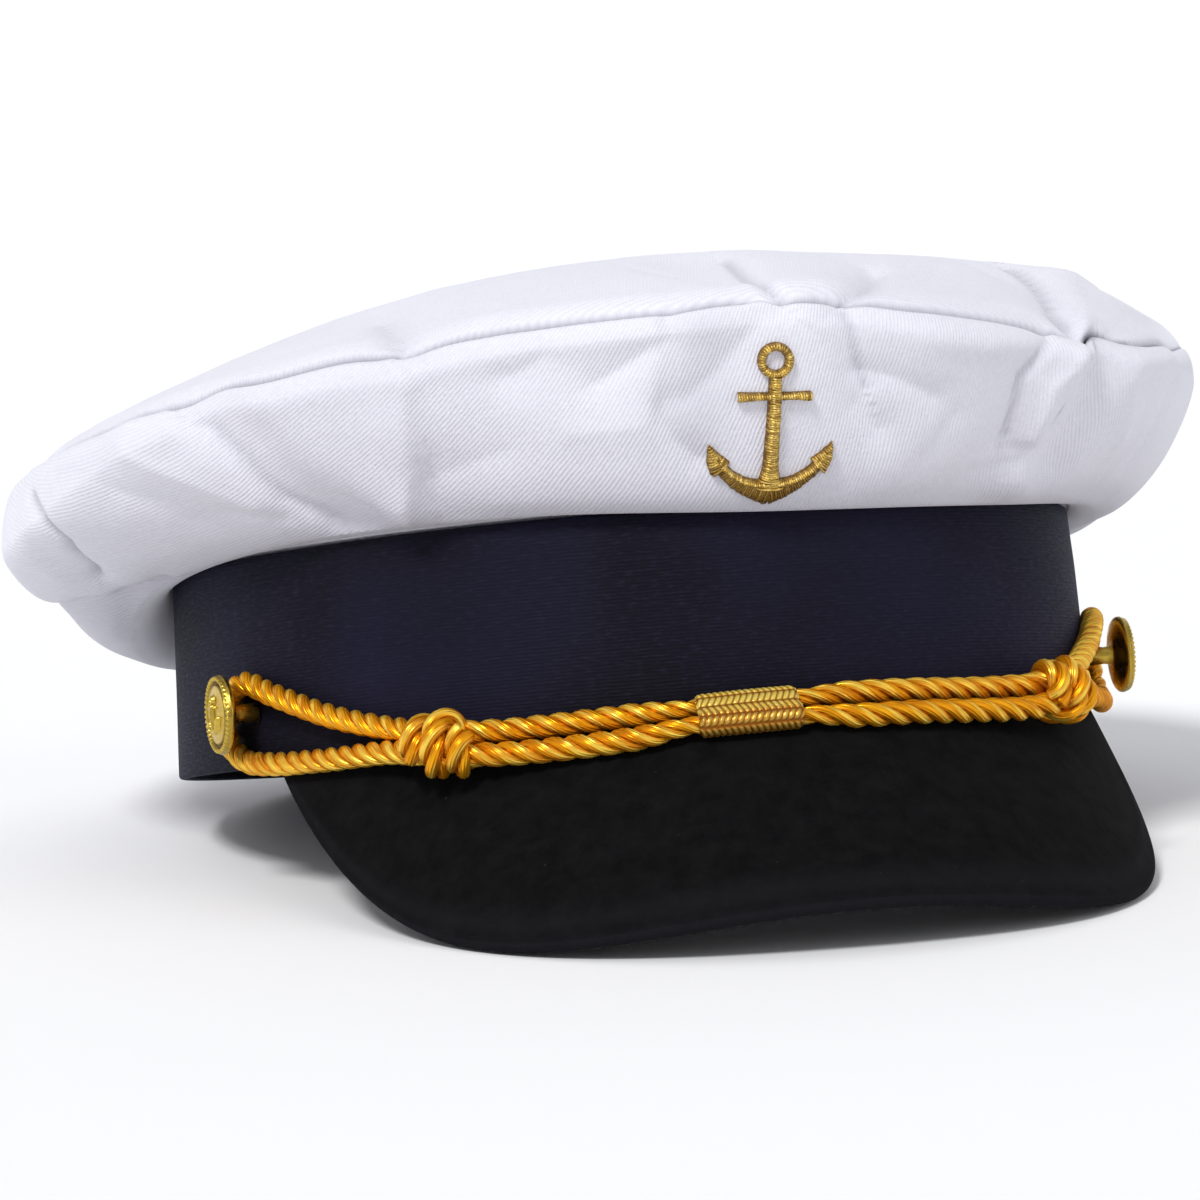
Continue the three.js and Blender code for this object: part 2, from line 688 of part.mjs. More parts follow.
// Button: turned about its own axis, which points out from the band
function buttonGeometry() {
  const profile = BUTTON_ROWS.map(({ radius, height }) => new THREE.Vector2(radius, height));
  return new THREE.LatheGeometry(profile, BUTTON_SIDES);
}

function buttonAt(angle) {
  const faceOut = GAP + bandOut(BUTTON_HEIGHT - SHANK_RADIUS);
  const out = outwardAt(angle);
  const place = around(angle, faceOut, BUTTON_HEIGHT);
  const turn = new THREE.Quaternion().setFromUnitVectors(new THREE.Vector3(0, 1, 0), out);
  const matrix = new THREE.Matrix4().makeRotationFromQuaternion(turn).setPosition(place);
  return geometryOf(solidOf(buttonGeometry().applyMatrix4(matrix)));
}

// Anchor: x runs to the wearer's left, y down from the middle of its ring, z out from the cloth

// The rise at which the wall lies the given length below the seam, measured along the cloth at the anchor
function riseBelowSeam(length) {
  let gone = 0;
  for (let k = 1; k <= ANCHOR_LENGTH_STEPS; k += 1) {
    const above = 1 - (k - 1) / ANCHOR_LENGTH_STEPS;
    const below = 1 - k / ANCHOR_LENGTH_STEPS;
    const step = crownPlace(ANCHOR_ANGLE, above).distanceTo(crownPlace(ANCHOR_ANGLE, below));
    if (gone + step >= length) return above - ((length - gone) / step) * (above - below);
    gone += step;
  }
  return 0;
}

function onCrown(geometry) {
  const perDegree = crownPlace(ANCHOR_ANGLE + 1, 0.5).distanceTo(crownPlace(ANCHOR_ANGLE, 0.5));
  const places = geometry.getAttribute('position');
  for (let i = 0; i < places.count; i += 1) {
    const angle = ANCHOR_ANGLE + places.getX(i) / perDegree;
    const rise = riseBelowSeam(ANCHOR_BELOW_SEAM + places.getY(i));
    const point = folded(crownPlace(angle, rise), wallFade(rise))
      .addScaledVector(crownNormal(angle, rise), ANCHOR_LIFT + places.getZ(i));
    places.setXYZ(i, point.x, point.y, point.z);
  }
  return geometry;
}

function anchorArms() {
  const edge = new THREE.Path();
  ANCHOR_ARM_ROWS.forEach(({ out, down, bendOut, bendDown }, i) => {
    if (i === 0) edge.moveTo(out, down);
    else if (bendOut === undefined) edge.lineTo(out, down);
    else edge.quadraticCurveTo(bendOut, bendDown, out, down);
  });
  const right = edge.getPoints(ANCHOR_ARM_CURVE_STEPS);
  const left = right.slice(1, -1).map((p) => new THREE.Vector2(-p.x, p.y)).reverse();
  return new THREE.ExtrudeGeometry(new THREE.Shape([...right, ...left]), {
    depth: ANCHOR_RELIEF, bevelEnabled: false, steps: 1,
  });
}

function anchorShank() {
  const { top, bottom, topHalfWidth, bottomHalfWidth, steps } = ANCHOR_SHANK;
  const bar = new THREE.BoxGeometry(2, bottom - top, ANCHOR_RELIEF, 1, steps, 1);
  bar.translate(0, (top + bottom) / 2, ANCHOR_RELIEF / 2);
  const places = bar.getAttribute('position');
  for (let i = 0; i < places.count; i += 1) {
    const share = (places.getY(i) - top) / (bottom - top);
    places.setX(i, places.getX(i) * (topHalfWidth + (bottomHalfWidth - topHalfWidth) * share));
  }
  return bar;
}

function anchorStock() {
  const { down, halfLength, halfWidth, steps } = ANCHOR_STOCK;
  const { radius, inset, sides } = ANCHOR_KNOB;
  const bar = new THREE.BoxGeometry(2 * halfLength, 2 * halfWidth, ANCHOR_RELIEF, steps, 1, 1);
  const ends = [-1, 1].map((side) => new THREE.CylinderGeometry(radius, radius, ANCHOR_RELIEF, sides)
    .rotateX(Math.PI / 2)
    .translate(side * (halfLength - inset), 0, 0));
  return [bar, ...ends].map((piece) => piece.translate(0, down, ANCHOR_RELIEF / 2));
}

function anchorRing() {
  const { radius, wire, sides, steps } = ANCHOR_RING;
  return new THREE.TorusGeometry(radius, wire, sides, steps)
    .scale(1, 1, ANCHOR_RELIEF / (2 * wire))
    .translate(0, 0, ANCHOR_RELIEF / 2);
}

function anchorBadge() {
  return joined([anchorRing(), ...anchorStock(), anchorShank(), anchorArms()].map(onCrown));
}

// At rest the cap stands on the low corners of its peak and on the flat at the back of its band

function floorLevel(tilt) {
  return -BAND_HALF_LENGTH * Math.sin(tilt) + BAND_FLAT;
}

function restTilt(peak) {
  const places = peak.getAttribute('position');
  const drop = (tilt) => {
    let low = Infinity;
    for (let i = 0; i < places.count; i += 1) {
      low = Math.min(low, places.getZ(i) * Math.cos(tilt) - places.getY(i) * Math.sin(tilt));
    }
    return low - floorLevel(tilt);
  };
  let [least, most] = [radians(TILT_LEAST), radians(TILT_MOST)];
  for (let k = 0; k < TILT_HALVINGS; k += 1) {
    const middle = (least + most) / 2;
    if (drop(middle) < 0) least = middle;
    else most = middle;
  }
  return (least + most) / 2;
}

function bandOnFloor(tilt) {
  const size = 4 * BAND_HALF_LENGTH;
  const floor = new THREE.BoxGeometry(size, size, size)
    .translate(0, 0, floorLevel(tilt) - size / 2)
    .rotateX(tilt);
  return geometryOf(solidOf(bandRing()).subtract(solidOf(floor)));
}

function addPiece(group, name, geometry, colour) {
  geometry.computeVertexNormals();
  const mesh = new THREE.Mesh(geometry, new THREE.MeshStandardMaterial(colour));
  mesh.name = name;
  group.add(mesh);
}

const peak = peakShell();
const tilt = restTilt(peak);
const cap = new THREE.Group();
addPiece(cap, 'crown_top', crownTop(), COLOURS.crown);
addPiece(cap, 'crown_side', crownSide(), COLOURS.crown);
addPiece(cap, 'band', bandOnFloor(tilt), COLOURS.band);
addPiece(cap, 'peak', peak, COLOURS.peak);
addPiece(cap, 'chin_cord', chinCord(), COLOURS.cord);
addPiece(cap, 'cord_slide', cordSlide(), COLOURS.slide);
addPiece(cap, 'button_left', buttonAt(BUTTON_ANGLE), COLOURS.button);
addPiece(cap, 'button_right', buttonAt(-BUTTON_ANGLE), COLOURS.button);
addPiece(cap, 'anchor_badge', anchorBadge(), COLOURS.anchor);

cap.rotation.x = -tilt;
cap.updateMatrixWorld(true);
const box = new THREE.Box3().setFromObject(cap, true);
cap.position.set(-(box.min.x + box.max.x) / 2, -(box.min.y + box.max.y) / 2, -box.min.z);

const model = new THREE.Group();
model.add(cap);

export default model;
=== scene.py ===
# A naval officer's cap: soft white twill crown, navy band, black felt peak, gold chin cord, gold buttons and
# an anchor. Sizes in tables and function arguments are in millimetres on the level cap: z is 0 at the band's
# lower edge, the front points along -Y and the wearer's left along +X. to_row() lays them as the cap rests,
# in metres.

import json
import math

import bmesh
import bpy
import numpy as np
from mathutils import Matrix, Vector


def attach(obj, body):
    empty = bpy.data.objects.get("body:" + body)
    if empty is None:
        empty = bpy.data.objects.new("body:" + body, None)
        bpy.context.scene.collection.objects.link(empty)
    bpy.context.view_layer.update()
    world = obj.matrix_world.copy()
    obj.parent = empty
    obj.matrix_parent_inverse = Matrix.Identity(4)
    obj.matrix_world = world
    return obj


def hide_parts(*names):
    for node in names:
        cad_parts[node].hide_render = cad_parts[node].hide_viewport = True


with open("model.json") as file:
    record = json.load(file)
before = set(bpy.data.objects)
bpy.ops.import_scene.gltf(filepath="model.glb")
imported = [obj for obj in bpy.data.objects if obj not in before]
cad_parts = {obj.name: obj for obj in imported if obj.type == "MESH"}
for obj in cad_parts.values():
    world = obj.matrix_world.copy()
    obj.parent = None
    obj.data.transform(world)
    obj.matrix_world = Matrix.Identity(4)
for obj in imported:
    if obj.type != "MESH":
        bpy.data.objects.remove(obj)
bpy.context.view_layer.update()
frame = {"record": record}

MM = 0.001
# The room between a piece and what carries it
GAP = 0.3

# Band
BAND_HALF_LENGTH = 103
BAND_HALF_WIDTH = 87
BAND_HEIGHT = 38.5
BAND_WALL = 2.2
BAND_TAPER = 1.5
BAND_ARCH = 5

# Crown
CLOTH = 1.6
HEM_HEIGHT = 7
HEM_LIFT = 0.6
DOME_CENTRE_Y = -8
DOME_HEIGHT = 90
DOME_ROUND_SHARE = 0.35
# How a straight wall's inside departs from one cloth's thickness at the roll
SLANT_INSET = 1.4
SLANT_RISE = 0.3
# The shares of the wall and of the top over which the broad folds fade in
WALL_FADE = 0.25
TOP_FADE = 0.4

# A row for each section of the crown, every 30 degrees from the back. The roll is where the cloth hangs
# lowest outside the band, wide is where it stands out furthest, slant is 1 for a round wall and 2 for a
# straight one, and dome is how full the top is above that part of the seam.
CROWN_STEP = 30
CROWN_COLUMNS = "roll_out roll_height wide_out wide_height slant seam_out seam_height dome".split()
CROWN_ROWS = np.array([
    (9, 25, 27, 46, 1.1, 24, 57, 3),
    (9, 22.5, 28, 46, 1.1, 24.5, 57, 2.4),
    (9, 24.5, 30.5, 47.5, 1.15, 25, 58, 2),
    (5, 34.5, 30, 47, 1.3, 24.5, 60.5, 1.8),
    (1.8, 39, 23, 60, 1.5, 21.5, 64.2, 2),
    (1.5, 39, 18.5, 65, 1.65, 17.5, 69.3, 2.6),
    (1.5, 36.6, 17.5, 66.5, 1.65, 16.5, 70.8, 3.4),
    (1.5, 36.5, 19.5, 62.5, 1.65, 18, 65.8, 4.8),
    (3, 37.8, 23.6, 62.5, 1.45, 22.5, 67.5, 6),
    (6, 36, 26, 57, 1.2, 24, 67.8, 5.4),
    (8, 33, 27, 53, 1.1, 24.5, 64, 4.3),
    (9, 27, 27, 48, 1.1, 24.5, 60, 3.6),
])

# A row for each broad fold: it runs between two places (angle, rise), where rise is 0 at the roll, 1 at the
# seam and 2 at the middle of the top, spreads that wide to each side and goes that deep
FOLD_ROWS = [
    ((-55, 0.85), (-48, 0.15), 7, 2.4),
    ((-37, 1), (-40, 0.1), 6, -1.8),
    ((-47, 1.27), (-36, 1.02), 8, 1.2),
    ((-92, 0.85), (-88, 0.3), 7, 2.2),
    ((-118, 0.5), (-92, 0.1), 8, 1.6),
    ((-5, 1.03), (6, 1.03), 8, -1.6),
    ((-4, 1.08), (-6, 1.35), 7, 1.6),
    ((7, 0.95), (10, 0.5), 7, 1.3),
    ((33, 0.95), (32, 0.2), 6, -2.6),
    ((39, 0.9), (36, 0.4), 6, 3),
    ((43, 1.22), (35, 1.03), 7, 2.2),
    ((52, 1.15), (50, 0.95), 8, -1.4),
    ((80, 0.7), (84, 0.2), 8, 1.6),
    ((112, 0.8), (106, 0.2), 8, 2),
    ((150, 0.75), (141, 0.15), 8, 2.2),
    ((178, 0.8), (186, 0.15), 8, 2.2),
    ((-150, 0.8), (-158, 0.2), 8, 2.4),
    ((160, 1.3), (152, 1.05), 9, 2),
    ((-140, 1.28), (-149, 1.05), 9, 2.2),
    ((95, 1.3), (84, 1.06), 9, 1.6),
]

# Lines that a crease and its shade share
LEFT_FRONT_LINE = [(-50.5, 0.1), (-53.8, 0.32), (-54.6, 0.46), (-55.3, 0.62), (-56.6, 0.77)]
FAR_LEFT_LINE = [(-89.5, 0.26), (-85.5, 0.38), (-82.6, 0.5), (-82.4, 0.68), (-86, 0.82)]
TOP_RIGHT_LINE = [(38.5, 1.08), (40.5, 1.11), (45.5, 1.18), (50.5, 1.25)]

# A row for each crease, puff and dent: the places (angle, share of the wall's length) that it runs through,
# how far it spreads to its left and to its right seen from outside and walking along it, and its depth, which
# is below 0 where the cloth stands out. Above 1 the share counts on across the top, to 2 at its middle.
CREASE_ROWS = [
    # left front of the side
    ([*LEFT_FRONT_LINE, (-58.8, 0.88)], 1.9, 5, 1.9),
    ([(-66.5, 0.82), (-61, 0.58), (-57.2, 0.34)], 8, 7, -1.9),
    ([(-71, 0.66), (-61, 0.34)], 6, 5, 1.2),
    ([(-65, 0.36), (-58.8, 0.28), (-55, 0.21)], 3, 3, 0.9),
    ([(-40, 0.1), (-39.5, 0.18), (-37.5, 0.36), (-36.5, 0.58), (-35.5, 0.82), (-36, 0.94)], 5, 1.1, -1.5),
    ([(-46.5, 0.24), (-44, 0.12)], 1, 2.4, 0.9),
    ([(-37, 0.16), (-36, 0.4)], 0.8, 3, 0.8),
    ([(-37.5, 0.29), (-28.5, 0.38)], 6, 6, 0.8),
    # far left of the side
    (FAR_LEFT_LINE, 1.2, 2, 1.7),
    ([(-81, 0.02), (-89, 0.07), (-94, 0.12), (-97, 0.22), (-106, 0.38), (-118, 0.54)], 4.5, 1, 1.9),
    ([(-92, 0.4), (-90, 0.75)], 4, 4, -0.9),
    # front
    ([(-27, 0.76), (-25.5, 0.77), (-23, 0.84)], 4, 4, 1),
    ([(-18.5, 0.67), (-16, 0.73), (-13, 0.82)], 4, 4, 1.5),
    ([(-21, 0.45), (-14.5, 0.46)], 9, 9, -1.2),
    ([(-11.5, 0.85), (-11.5, 0.95)], 1.2, 2.4, 0.9),
    ([(-10, 0.57), (-7, 0.68), (-3, 0.89)], 4.5, 4.5, 1.3),
    ([(-9, 0.28), (-11.3, 0.38), (-12.3, 0.47), (-12.5, 0.55)], 1.8, 3.2, 1.4),
    ([(-13, 0.56), (-12.5, 0.86)], 3, 1.4, -0.7),
    ([(8.7, 0.6), (7, 0.77), (6, 0.93)], 3.4, 0.7, 1.1),
    ([(7.5, 0.68), (11.5, 0.66), (16, 0.59)], 3, 3.4, 1.2),
    ([(8, 0.51), (10.5, 0.41)], 3.4, 3.4, 1.1),
    ([(14, 0.85), (21, 0.85)], 5, 5, -0.7),
    ([(17, 0.3), (19, 0.5)], 5, 5, 0.7),
    # tuck at the right front
    ([(26.8, 0.42), (26, 0.73), (28.5, 0.93)], 3.2, 0.8, 1.4),
    ([(29.8, 0.42), (30, 0.7), (32.5, 0.92)], 2.4, 2.4, -1.5),
    ([(32.3, 0.46), (33, 0.58), (34.5, 0.69), (36, 0.78), (36.8, 0.88)], 1, 2.2, 2.8),
    ([(27, 0.36), (32, 0.34), (34, 0.46)], 1.8, 1.8, 0.9),
    ([(24.5, 0.19), (31.5, 0.31), (39, 0.23)], 4, 4, 1.2),
    ([(47, 0.45), (43, 0.78)], 8, 6, -1.8),
    ([(58, 0.3), (55, 0.85)], 3, 4, 0.9),
    # out of the photograph
    ([(84, 0.1), (81, 0.5), (79, 0.95)], 2, 4, 1.5),
    ([(106, 0.1), (108, 0.5), (112, 0.95)], 4, 1.8, 1.7),
    ([(141, 0.05), (147, 0.5), (150, 0.95)], 1.8, 4, 1.6),
    ([(186, 0.05), (180, 0.5), (177, 0.95)], 4, 2, 1.5),
    ([(-158, 0.05), (-152, 0.5), (-149, 0.95)], 1.8, 4, 1.6),
    ([(-128, 0.05), (-123, 0.5), (-121, 0.95)], 4, 1.8, 1.5),
    # top
    ([(-0.3, 1), (-1.5, 1.03), (-2, 1.06), (-0.8, 1.19), (0.5, 1.32)], 3.4, 1.2, 1.5),
    ([(-2.6, 1.01), (-4, 1.12)], 3.6, 3.6, -1.3),
    ([(6.5, 1), (9, 1.04), (14, 1.13), (17, 1.18)], 3, 2.2, 2.6),
    ([(19, 1.12), (28, 1.19)], 2, 3, 0.8),
    ([(34.5, 1), (36.5, 1.04), *TOP_RIGHT_LINE], 3, 1.1, 2),
    ([(38, 1.02), (49, 1.14)], 3, 3, -1.7),
    ([(42, 1.01), (56, 1.09)], 4, 4, 1.7),
    ([(-35.5, 1), (-38, 1.04), (-44, 1.19)], 1.3, 3, 0.9),
    ([(-4, 1.14), (-8, 1.18), (-13.5, 1.29)], 2, 2, 0.7),
    ([(-149, 1.03), (-140, 1.28)], 2, 4, 1.3),
    ([(152, 1.03), (161, 1.3)], 4, 2, 1.3),
    ([(84, 1.03), (95, 1.28)], 4, 2, 1.1),
    ([(118, 1.04), (126, 1.2)], 2, 2, 1.1),
    ([(-100, 1.04), (-92, 1.2)], 2, 2, 1.1),
]

# A row for each painted shade in a hollow: its line, its reach to the left and right, and the share of light
# it loses
SHADE_ROWS = [
    ([(-76, 0), (-88, 0.03), (-93, 0.08), (-97, 0.18), (-106, 0.35), (-118, 0.52)], 14, 0.6, 0.2),
    (LEFT_FRONT_LINE, 0.9, 1.8, 0.18),
    (FAR_LEFT_LINE, 0.7, 1, 0.25),
    ([(-37, 1.02), (-43.5, 1.17)], 2, 3, 0.1),
    ([(-9.5, 0.4), (-8, 0.8)], 6, 6, 0.2),
    ([(7.5, 1.01), (9, 1.03), (14, 1.13)], 2.6, 2.2, 0.14),
    ([(-1.5, 1.03), (-2, 1.06), (-0.8, 1.19), (0.5, 1.3)], 0.8, 1.4, 0.14),
    ([(36.5, 1.03), *TOP_RIGHT_LINE], 1.6, 0.6, 0.2),
    ([(47, 1.02), (58, 1.06)], 5, 5, 0.1),
    ([(14, 1.06), (55, 1.1)], 14, 14, 0.06),
    ([(8.5, 0.35), (11, 0.42)], 4, 4, 0.1),
    ([(33.4, 0.57), (34, 0.66), (35.4, 0.76), (36.2, 0.84)], 1.4, 1.6, 0.8),
    ([(37, 0.985), (42, 1), (44, 1)], 1, 1, 0.85),
]
# Painted shade on the side's cloth: near the roll, where the bare wall faces down, and along narrow deep
# creases
FOOT_SHADE = 0.3
UNDER_SHADE = {"from": 0.5, "to": 0.9, "share": 0.14}
SHADED_CREASE = {"narrower_than": 1.5, "deeper_than": 1, "width": 0.8, "share": 0.25}

# Seam between the top and the side: both edges meet at SEAM_RAISE above the side's own, and the top climbs
# from there to its own height over SEAM_BLEND
SEAM_RAISE = -0.2
SEAM_BLEND = 5
SEAM_SAG = {"angle": 50, "width": 12, "depth": 2.6, "reach": 12}
# Painted shade along the seam where it lies open
SEAM_SHADE = {"width": 0.6, "share": 0.6}
SEAM_DEPTH = 1.15
SEAM_WIDTH = 0.75
SEAM_PUFF = {"height": 0.55, "away": 4.2, "width": 3}
SEAM_LIP = 2.2
PUCKER = {"height": 0.18, "size": 2.5, "fade": 6}
# A row for each place where the cloth closes over the seam: angle, width and share
SEAM_COVERS = [(-2, 2.6, 1), (62, 11, 0.8)]
# A row for each size of the cloth's soft ripples: height, size and seed
RIPPLES = [(0.75, 38, 1), (0.4, 17, 2), (0.13, 7, 4)]

# Peak
PEAK_HALF_ANGLE = 63.8
PEAK_REACH = 51
PEAK_BOW = 0.205
PEAK_CORNER = 3.83
PEAK_TIP = 1.28
PEAK_DROP = (44.12, 8.12, -6.74)
PEAK_FAN = (0.21, -0.14)
PEAK_THICKNESS = 2.4
PEAK_END = 0.9965
TAB_HEIGHT = 8

# Chin cord
CORD_RADIUS = 1.9
SQUEEZED_RADIUS = 1.4
CORD_STEP = 0.5
STRANDS = 3
STRAND_REACH = 0.58
STRAND_THICKNESS = 0.58
# The length of one turn of the twist, by the angle where it lies, and in the knots
TWIST_ANGLES = (-60, -45, -34, -12, 2, 30, 42, 60)
TWIST_LENGTHS = (10.8, 11, 12, 12, 14, 14, 11.5, 10.5)
KNOT_TWIST = 13
KNOT_PLACES = [(-37.3, 1), (36, 3)]
KNOT_COIL = {"turns": 2.25, "pitch": 4.6, "radius": 3.75, "cord": 2, "outside": 5.6}
SLIDE_WALL = 0.6
SLIDE_BULK = SQUEEZED_RADIUS + GAP + SLIDE_WALL

# The cord's own radius, and the radius of what has to clear the cap there
FREE = (CORD_RADIUS, CORD_RADIUS)
BY_KNOT = (CORD_RADIUS, 3)
IN_KNOT = (CORD_RADIUS, 5)
IN_SLIDE = (SQUEEZED_RADIUS, SLIDE_BULK)

# The stretches of the cord's closed loop, each with its places (angle, height): over the front from the
# wearer's right to the left, round the left button, back below, and up round the right button
CORD_STRETCHES = [
    (FREE, [(-72.2, 9), (-71, 13.2), (-68.2, 15.5), (-62.9, 12.9), (-53.5, 7.8)]),
    (BY_KNOT, [(-44.5, 4.5)]),
    (IN_KNOT, [(-37.3, 2.9)]),
    (BY_KNOT, [(-32, 2.5)]),
    (FREE, [(-26, 2.7), (-17, 3.3)]),
    (IN_SLIDE, [(-12, 3.6), (-5.5, 4), (1, 4.2)]),
    (FREE, [(6, 4.5), (14, 4.4), (23, 4)]),
    (BY_KNOT, [(30, 4)]),
    (IN_KNOT, [(36, 4.4)]),
    (BY_KNOT, [(43.5, 6.2)]),
    (FREE, [(54, 11.4), (61, 15.6), (68, 17.2), (72.8, 14.4), (74.6, 9.4)]),
    (FREE, [(72.8, 4.4), (67.5, 1.6), (58, 1.8)]),
    (BY_KNOT, [(44, 1.9)]),
    (IN_KNOT, [(36, 1.1)]),
    (BY_KNOT, [(30, 0)]),
    (FREE, [(23, 0), (14, 0.4), (6, 0.5)]),
    (IN_SLIDE, [(1, 1.1), (-5.5, 1), (-12, 0.6)]),
    (FREE, [(-17, -0.7), (-26, -1.5)]),
    (BY_KNOT, [(-32, -1.5)]),
    (IN_KNOT, [(-37.3, -0.8)]),
    (BY_KNOT, [(-44.5, 0.4)]),
    (FREE, [(-53.9, 0.2), (-62.7, 0.4), (-68.4, 1.6), (-71.4, 4.8)]),
]
CORD_ROWS = np.array([place + radii for radii, places in CORD_STRETCHES for place in places])
CURVE_STEPS = 60
SLIDE_FROM = -11
SLIDE_TO = 0
BRAID = {"row": 2.15, "stitch": 1.05, "slant": 0.95, "depth": 0.3}

# Buttons
BUTTON_ANGLE = 67.5
BUTTON_HEIGHT = 10.1
BUTTON_RADIUS = 7.25
BUTTON_STANDOFF = 6
BUTTON_LEAN = 13
SHANK_RADIUS = 1.8
FACE_RADIUS = 5.2
GROOVE_RADIUS = 5.75
BEADS = {"count": 46, "ring": 6.6, "radius": 0.47}
RELIEF_HEIGHT = 0.7

# Anchor: x runs to the wearer's left, y down from the middle of its ring
ANCHOR_ANGLE = -1.3
ANCHOR_BELOW_SEAM = 10.6
ANCHOR_LIFT = 0.1
STITCH_EVERY = 0.4
STITCH_RADIUS = 0.25
LIMB_WIDTH = 1.12


# Places on the level cap

def around(angle, out, height):
    turn = np.radians(angle)
    x = (BAND_HALF_WIDTH + out) * np.sin(turn)
    y = -(BAND_HALF_LENGTH + out) * np.cos(turn)
    return np.stack(np.broadcast_arrays(x, y, height), -1).astype(float)


def outward_at(angle):
    turn = np.radians(angle)
    flat = BAND_HALF_LENGTH * np.sin(turn), -BAND_HALF_WIDTH * np.cos(turn), 0 * turn
    return unit(np.stack(np.broadcast_arrays(*flat), -1).astype(float))


def unit(vectors):
    return vectors / np.maximum(np.linalg.norm(vectors, axis=-1, keepdims=True), 1e-12)


def dot(a, b):
    return (a * b).sum(-1)


def smooth(value, low, high):
    t = np.clip((value - low) / (high - low), 0, 1)
    return t * t * (3 - 2 * t)


def bell(value, width=1):
    """1 where value is 0, and falling away to both sides"""
    return np.exp(-((value / width) ** 2))


def lengths_along(points):
    """How far along a line of points each of them is"""
    return np.concatenate([[0], np.cumsum(np.linalg.norm(np.diff(points, axis=0), axis=1))])


opening = next(m for m in frame["record"]["mounts"] if m["name"] == "head_opening")
REST_TILT = math.atan2(opening["axis"][1], -opening["axis"][2])
REST_PLACE = np.array(opening["pos_m"])


def turned(vectors):
    x, y, z = np.moveaxis(np.asarray(vectors, float), -1, 0)
    c, s = math.cos(REST_TILT), math.sin(REST_TILT)
    return np.stack([x, y * c + z * s, z * c - y * s], -1)


def to_row(points):
    return turned(points) * MM + REST_PLACE


def lattice_noise(points, size, seed):
    """Smooth noise from -1 to 1 whose bumps are about size apart"""
    place = points / size + seed * 17.3
    cell = np.floor(place)
    part = place - cell
    part = part * part * (3 - 2 * part)
    total = 0
    for corner in np.ndindex(2, 2, 2):
        at = cell + corner
        wave = np.sin(at @ np.array([127.1, 311.7, 74.7])) * 43758.5453
        weight = np.prod(np.where(corner, part, 1 - part), axis=-1)
        total = total + weight * (wave - np.floor(wave))
    return 2 * total - 1


# Meshes

def shown(name, data):
    thing = bpy.data.objects.new(name, data)
    bpy.context.scene.collection.objects.link(thing)
    return thing


def grid_faces(rows, columns, closed_rows, closed_columns):
    i = np.arange(rows if closed_rows else rows - 1)
    j = np.arange(columns if closed_columns else columns - 1)
    i, j = np.meshgrid(i, j, indexing="ij")
    ni, nj = (i + 1) % rows, (j + 1) % columns
    corners = np.stack([i * columns + j, ni * columns + j, ni * columns + nj, i * columns + nj], -1)
    return corners.reshape(-1, 4), i.ravel(), j.ravel()


class Build:
    """Gathers the grids of one piece, with their cloth coordinates and tones, and makes the object"""

    def __init__(self, name):
        self.name = name
        self.points, self.faces, self.flat, self.tones = [], [], [], []
        self.count = 0

    def grid(self, points, closed_rows=False, closed_columns=False, flat=None, tone=0.5, caps=False):
        """flat has one row or column more than points wherever the grid closes on itself"""
        rows, columns = points.shape[:2]
        faces, i, j = grid_faces(rows, columns, closed_rows, closed_columns)
        self.faces += (faces + self.count).tolist()
        if flat is None:
            flat = np.zeros((rows + 1, columns + 1, 2))
        flat = np.pad(flat, ((0, rows + 1 - flat.shape[0]), (0, columns + 1 - flat.shape[1]), (0, 0)), "edge")
        corners = [flat[i, j], flat[i + 1, j], flat[i + 1, j + 1], flat[i, j + 1]]
        self.flat.append(np.stack(corners, 1).reshape(-1, 2))
        if caps:
            for row in (0, rows - 1):
                self.faces.append((self.count + row * columns + np.arange(columns)).tolist())
                self.flat.append(flat[row, :columns])
        self.points.append(points.reshape(-1, 3))
        self.tones.append(np.broadcast_to(tone, (rows, columns)).ravel())
        self.count += rows * columns

    def make(self, paint, node):
        mesh = bpy.data.meshes.new(self.name)
        mesh.from_pydata(to_row(np.concatenate(self.points)).tolist(), [], self.faces)
        layer = mesh.uv_layers.new(name="cloth")
        layer.data.foreach_set("uv", np.concatenate(self.flat).astype(np.float32).ravel())
        tone = mesh.attributes.new("tone", "FLOAT", "POINT")
        tone.data.foreach_set("value", np.concatenate(self.tones).astype(np.float32))
        work = bmesh.new()
        work.from_mesh(mesh)
        bmesh.ops.remove_doubles(work, verts=work.verts, dist=1e-6)
        bmesh.ops.recalc_face_normals(work, faces=work.faces)
        work.to_mesh(mesh)
        work.free()
        mesh.shade_smooth()
        mesh.materials.append(paint)
        piece = shown(self.name, mesh)
        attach(piece, "root")
        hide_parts(node)


# Materials

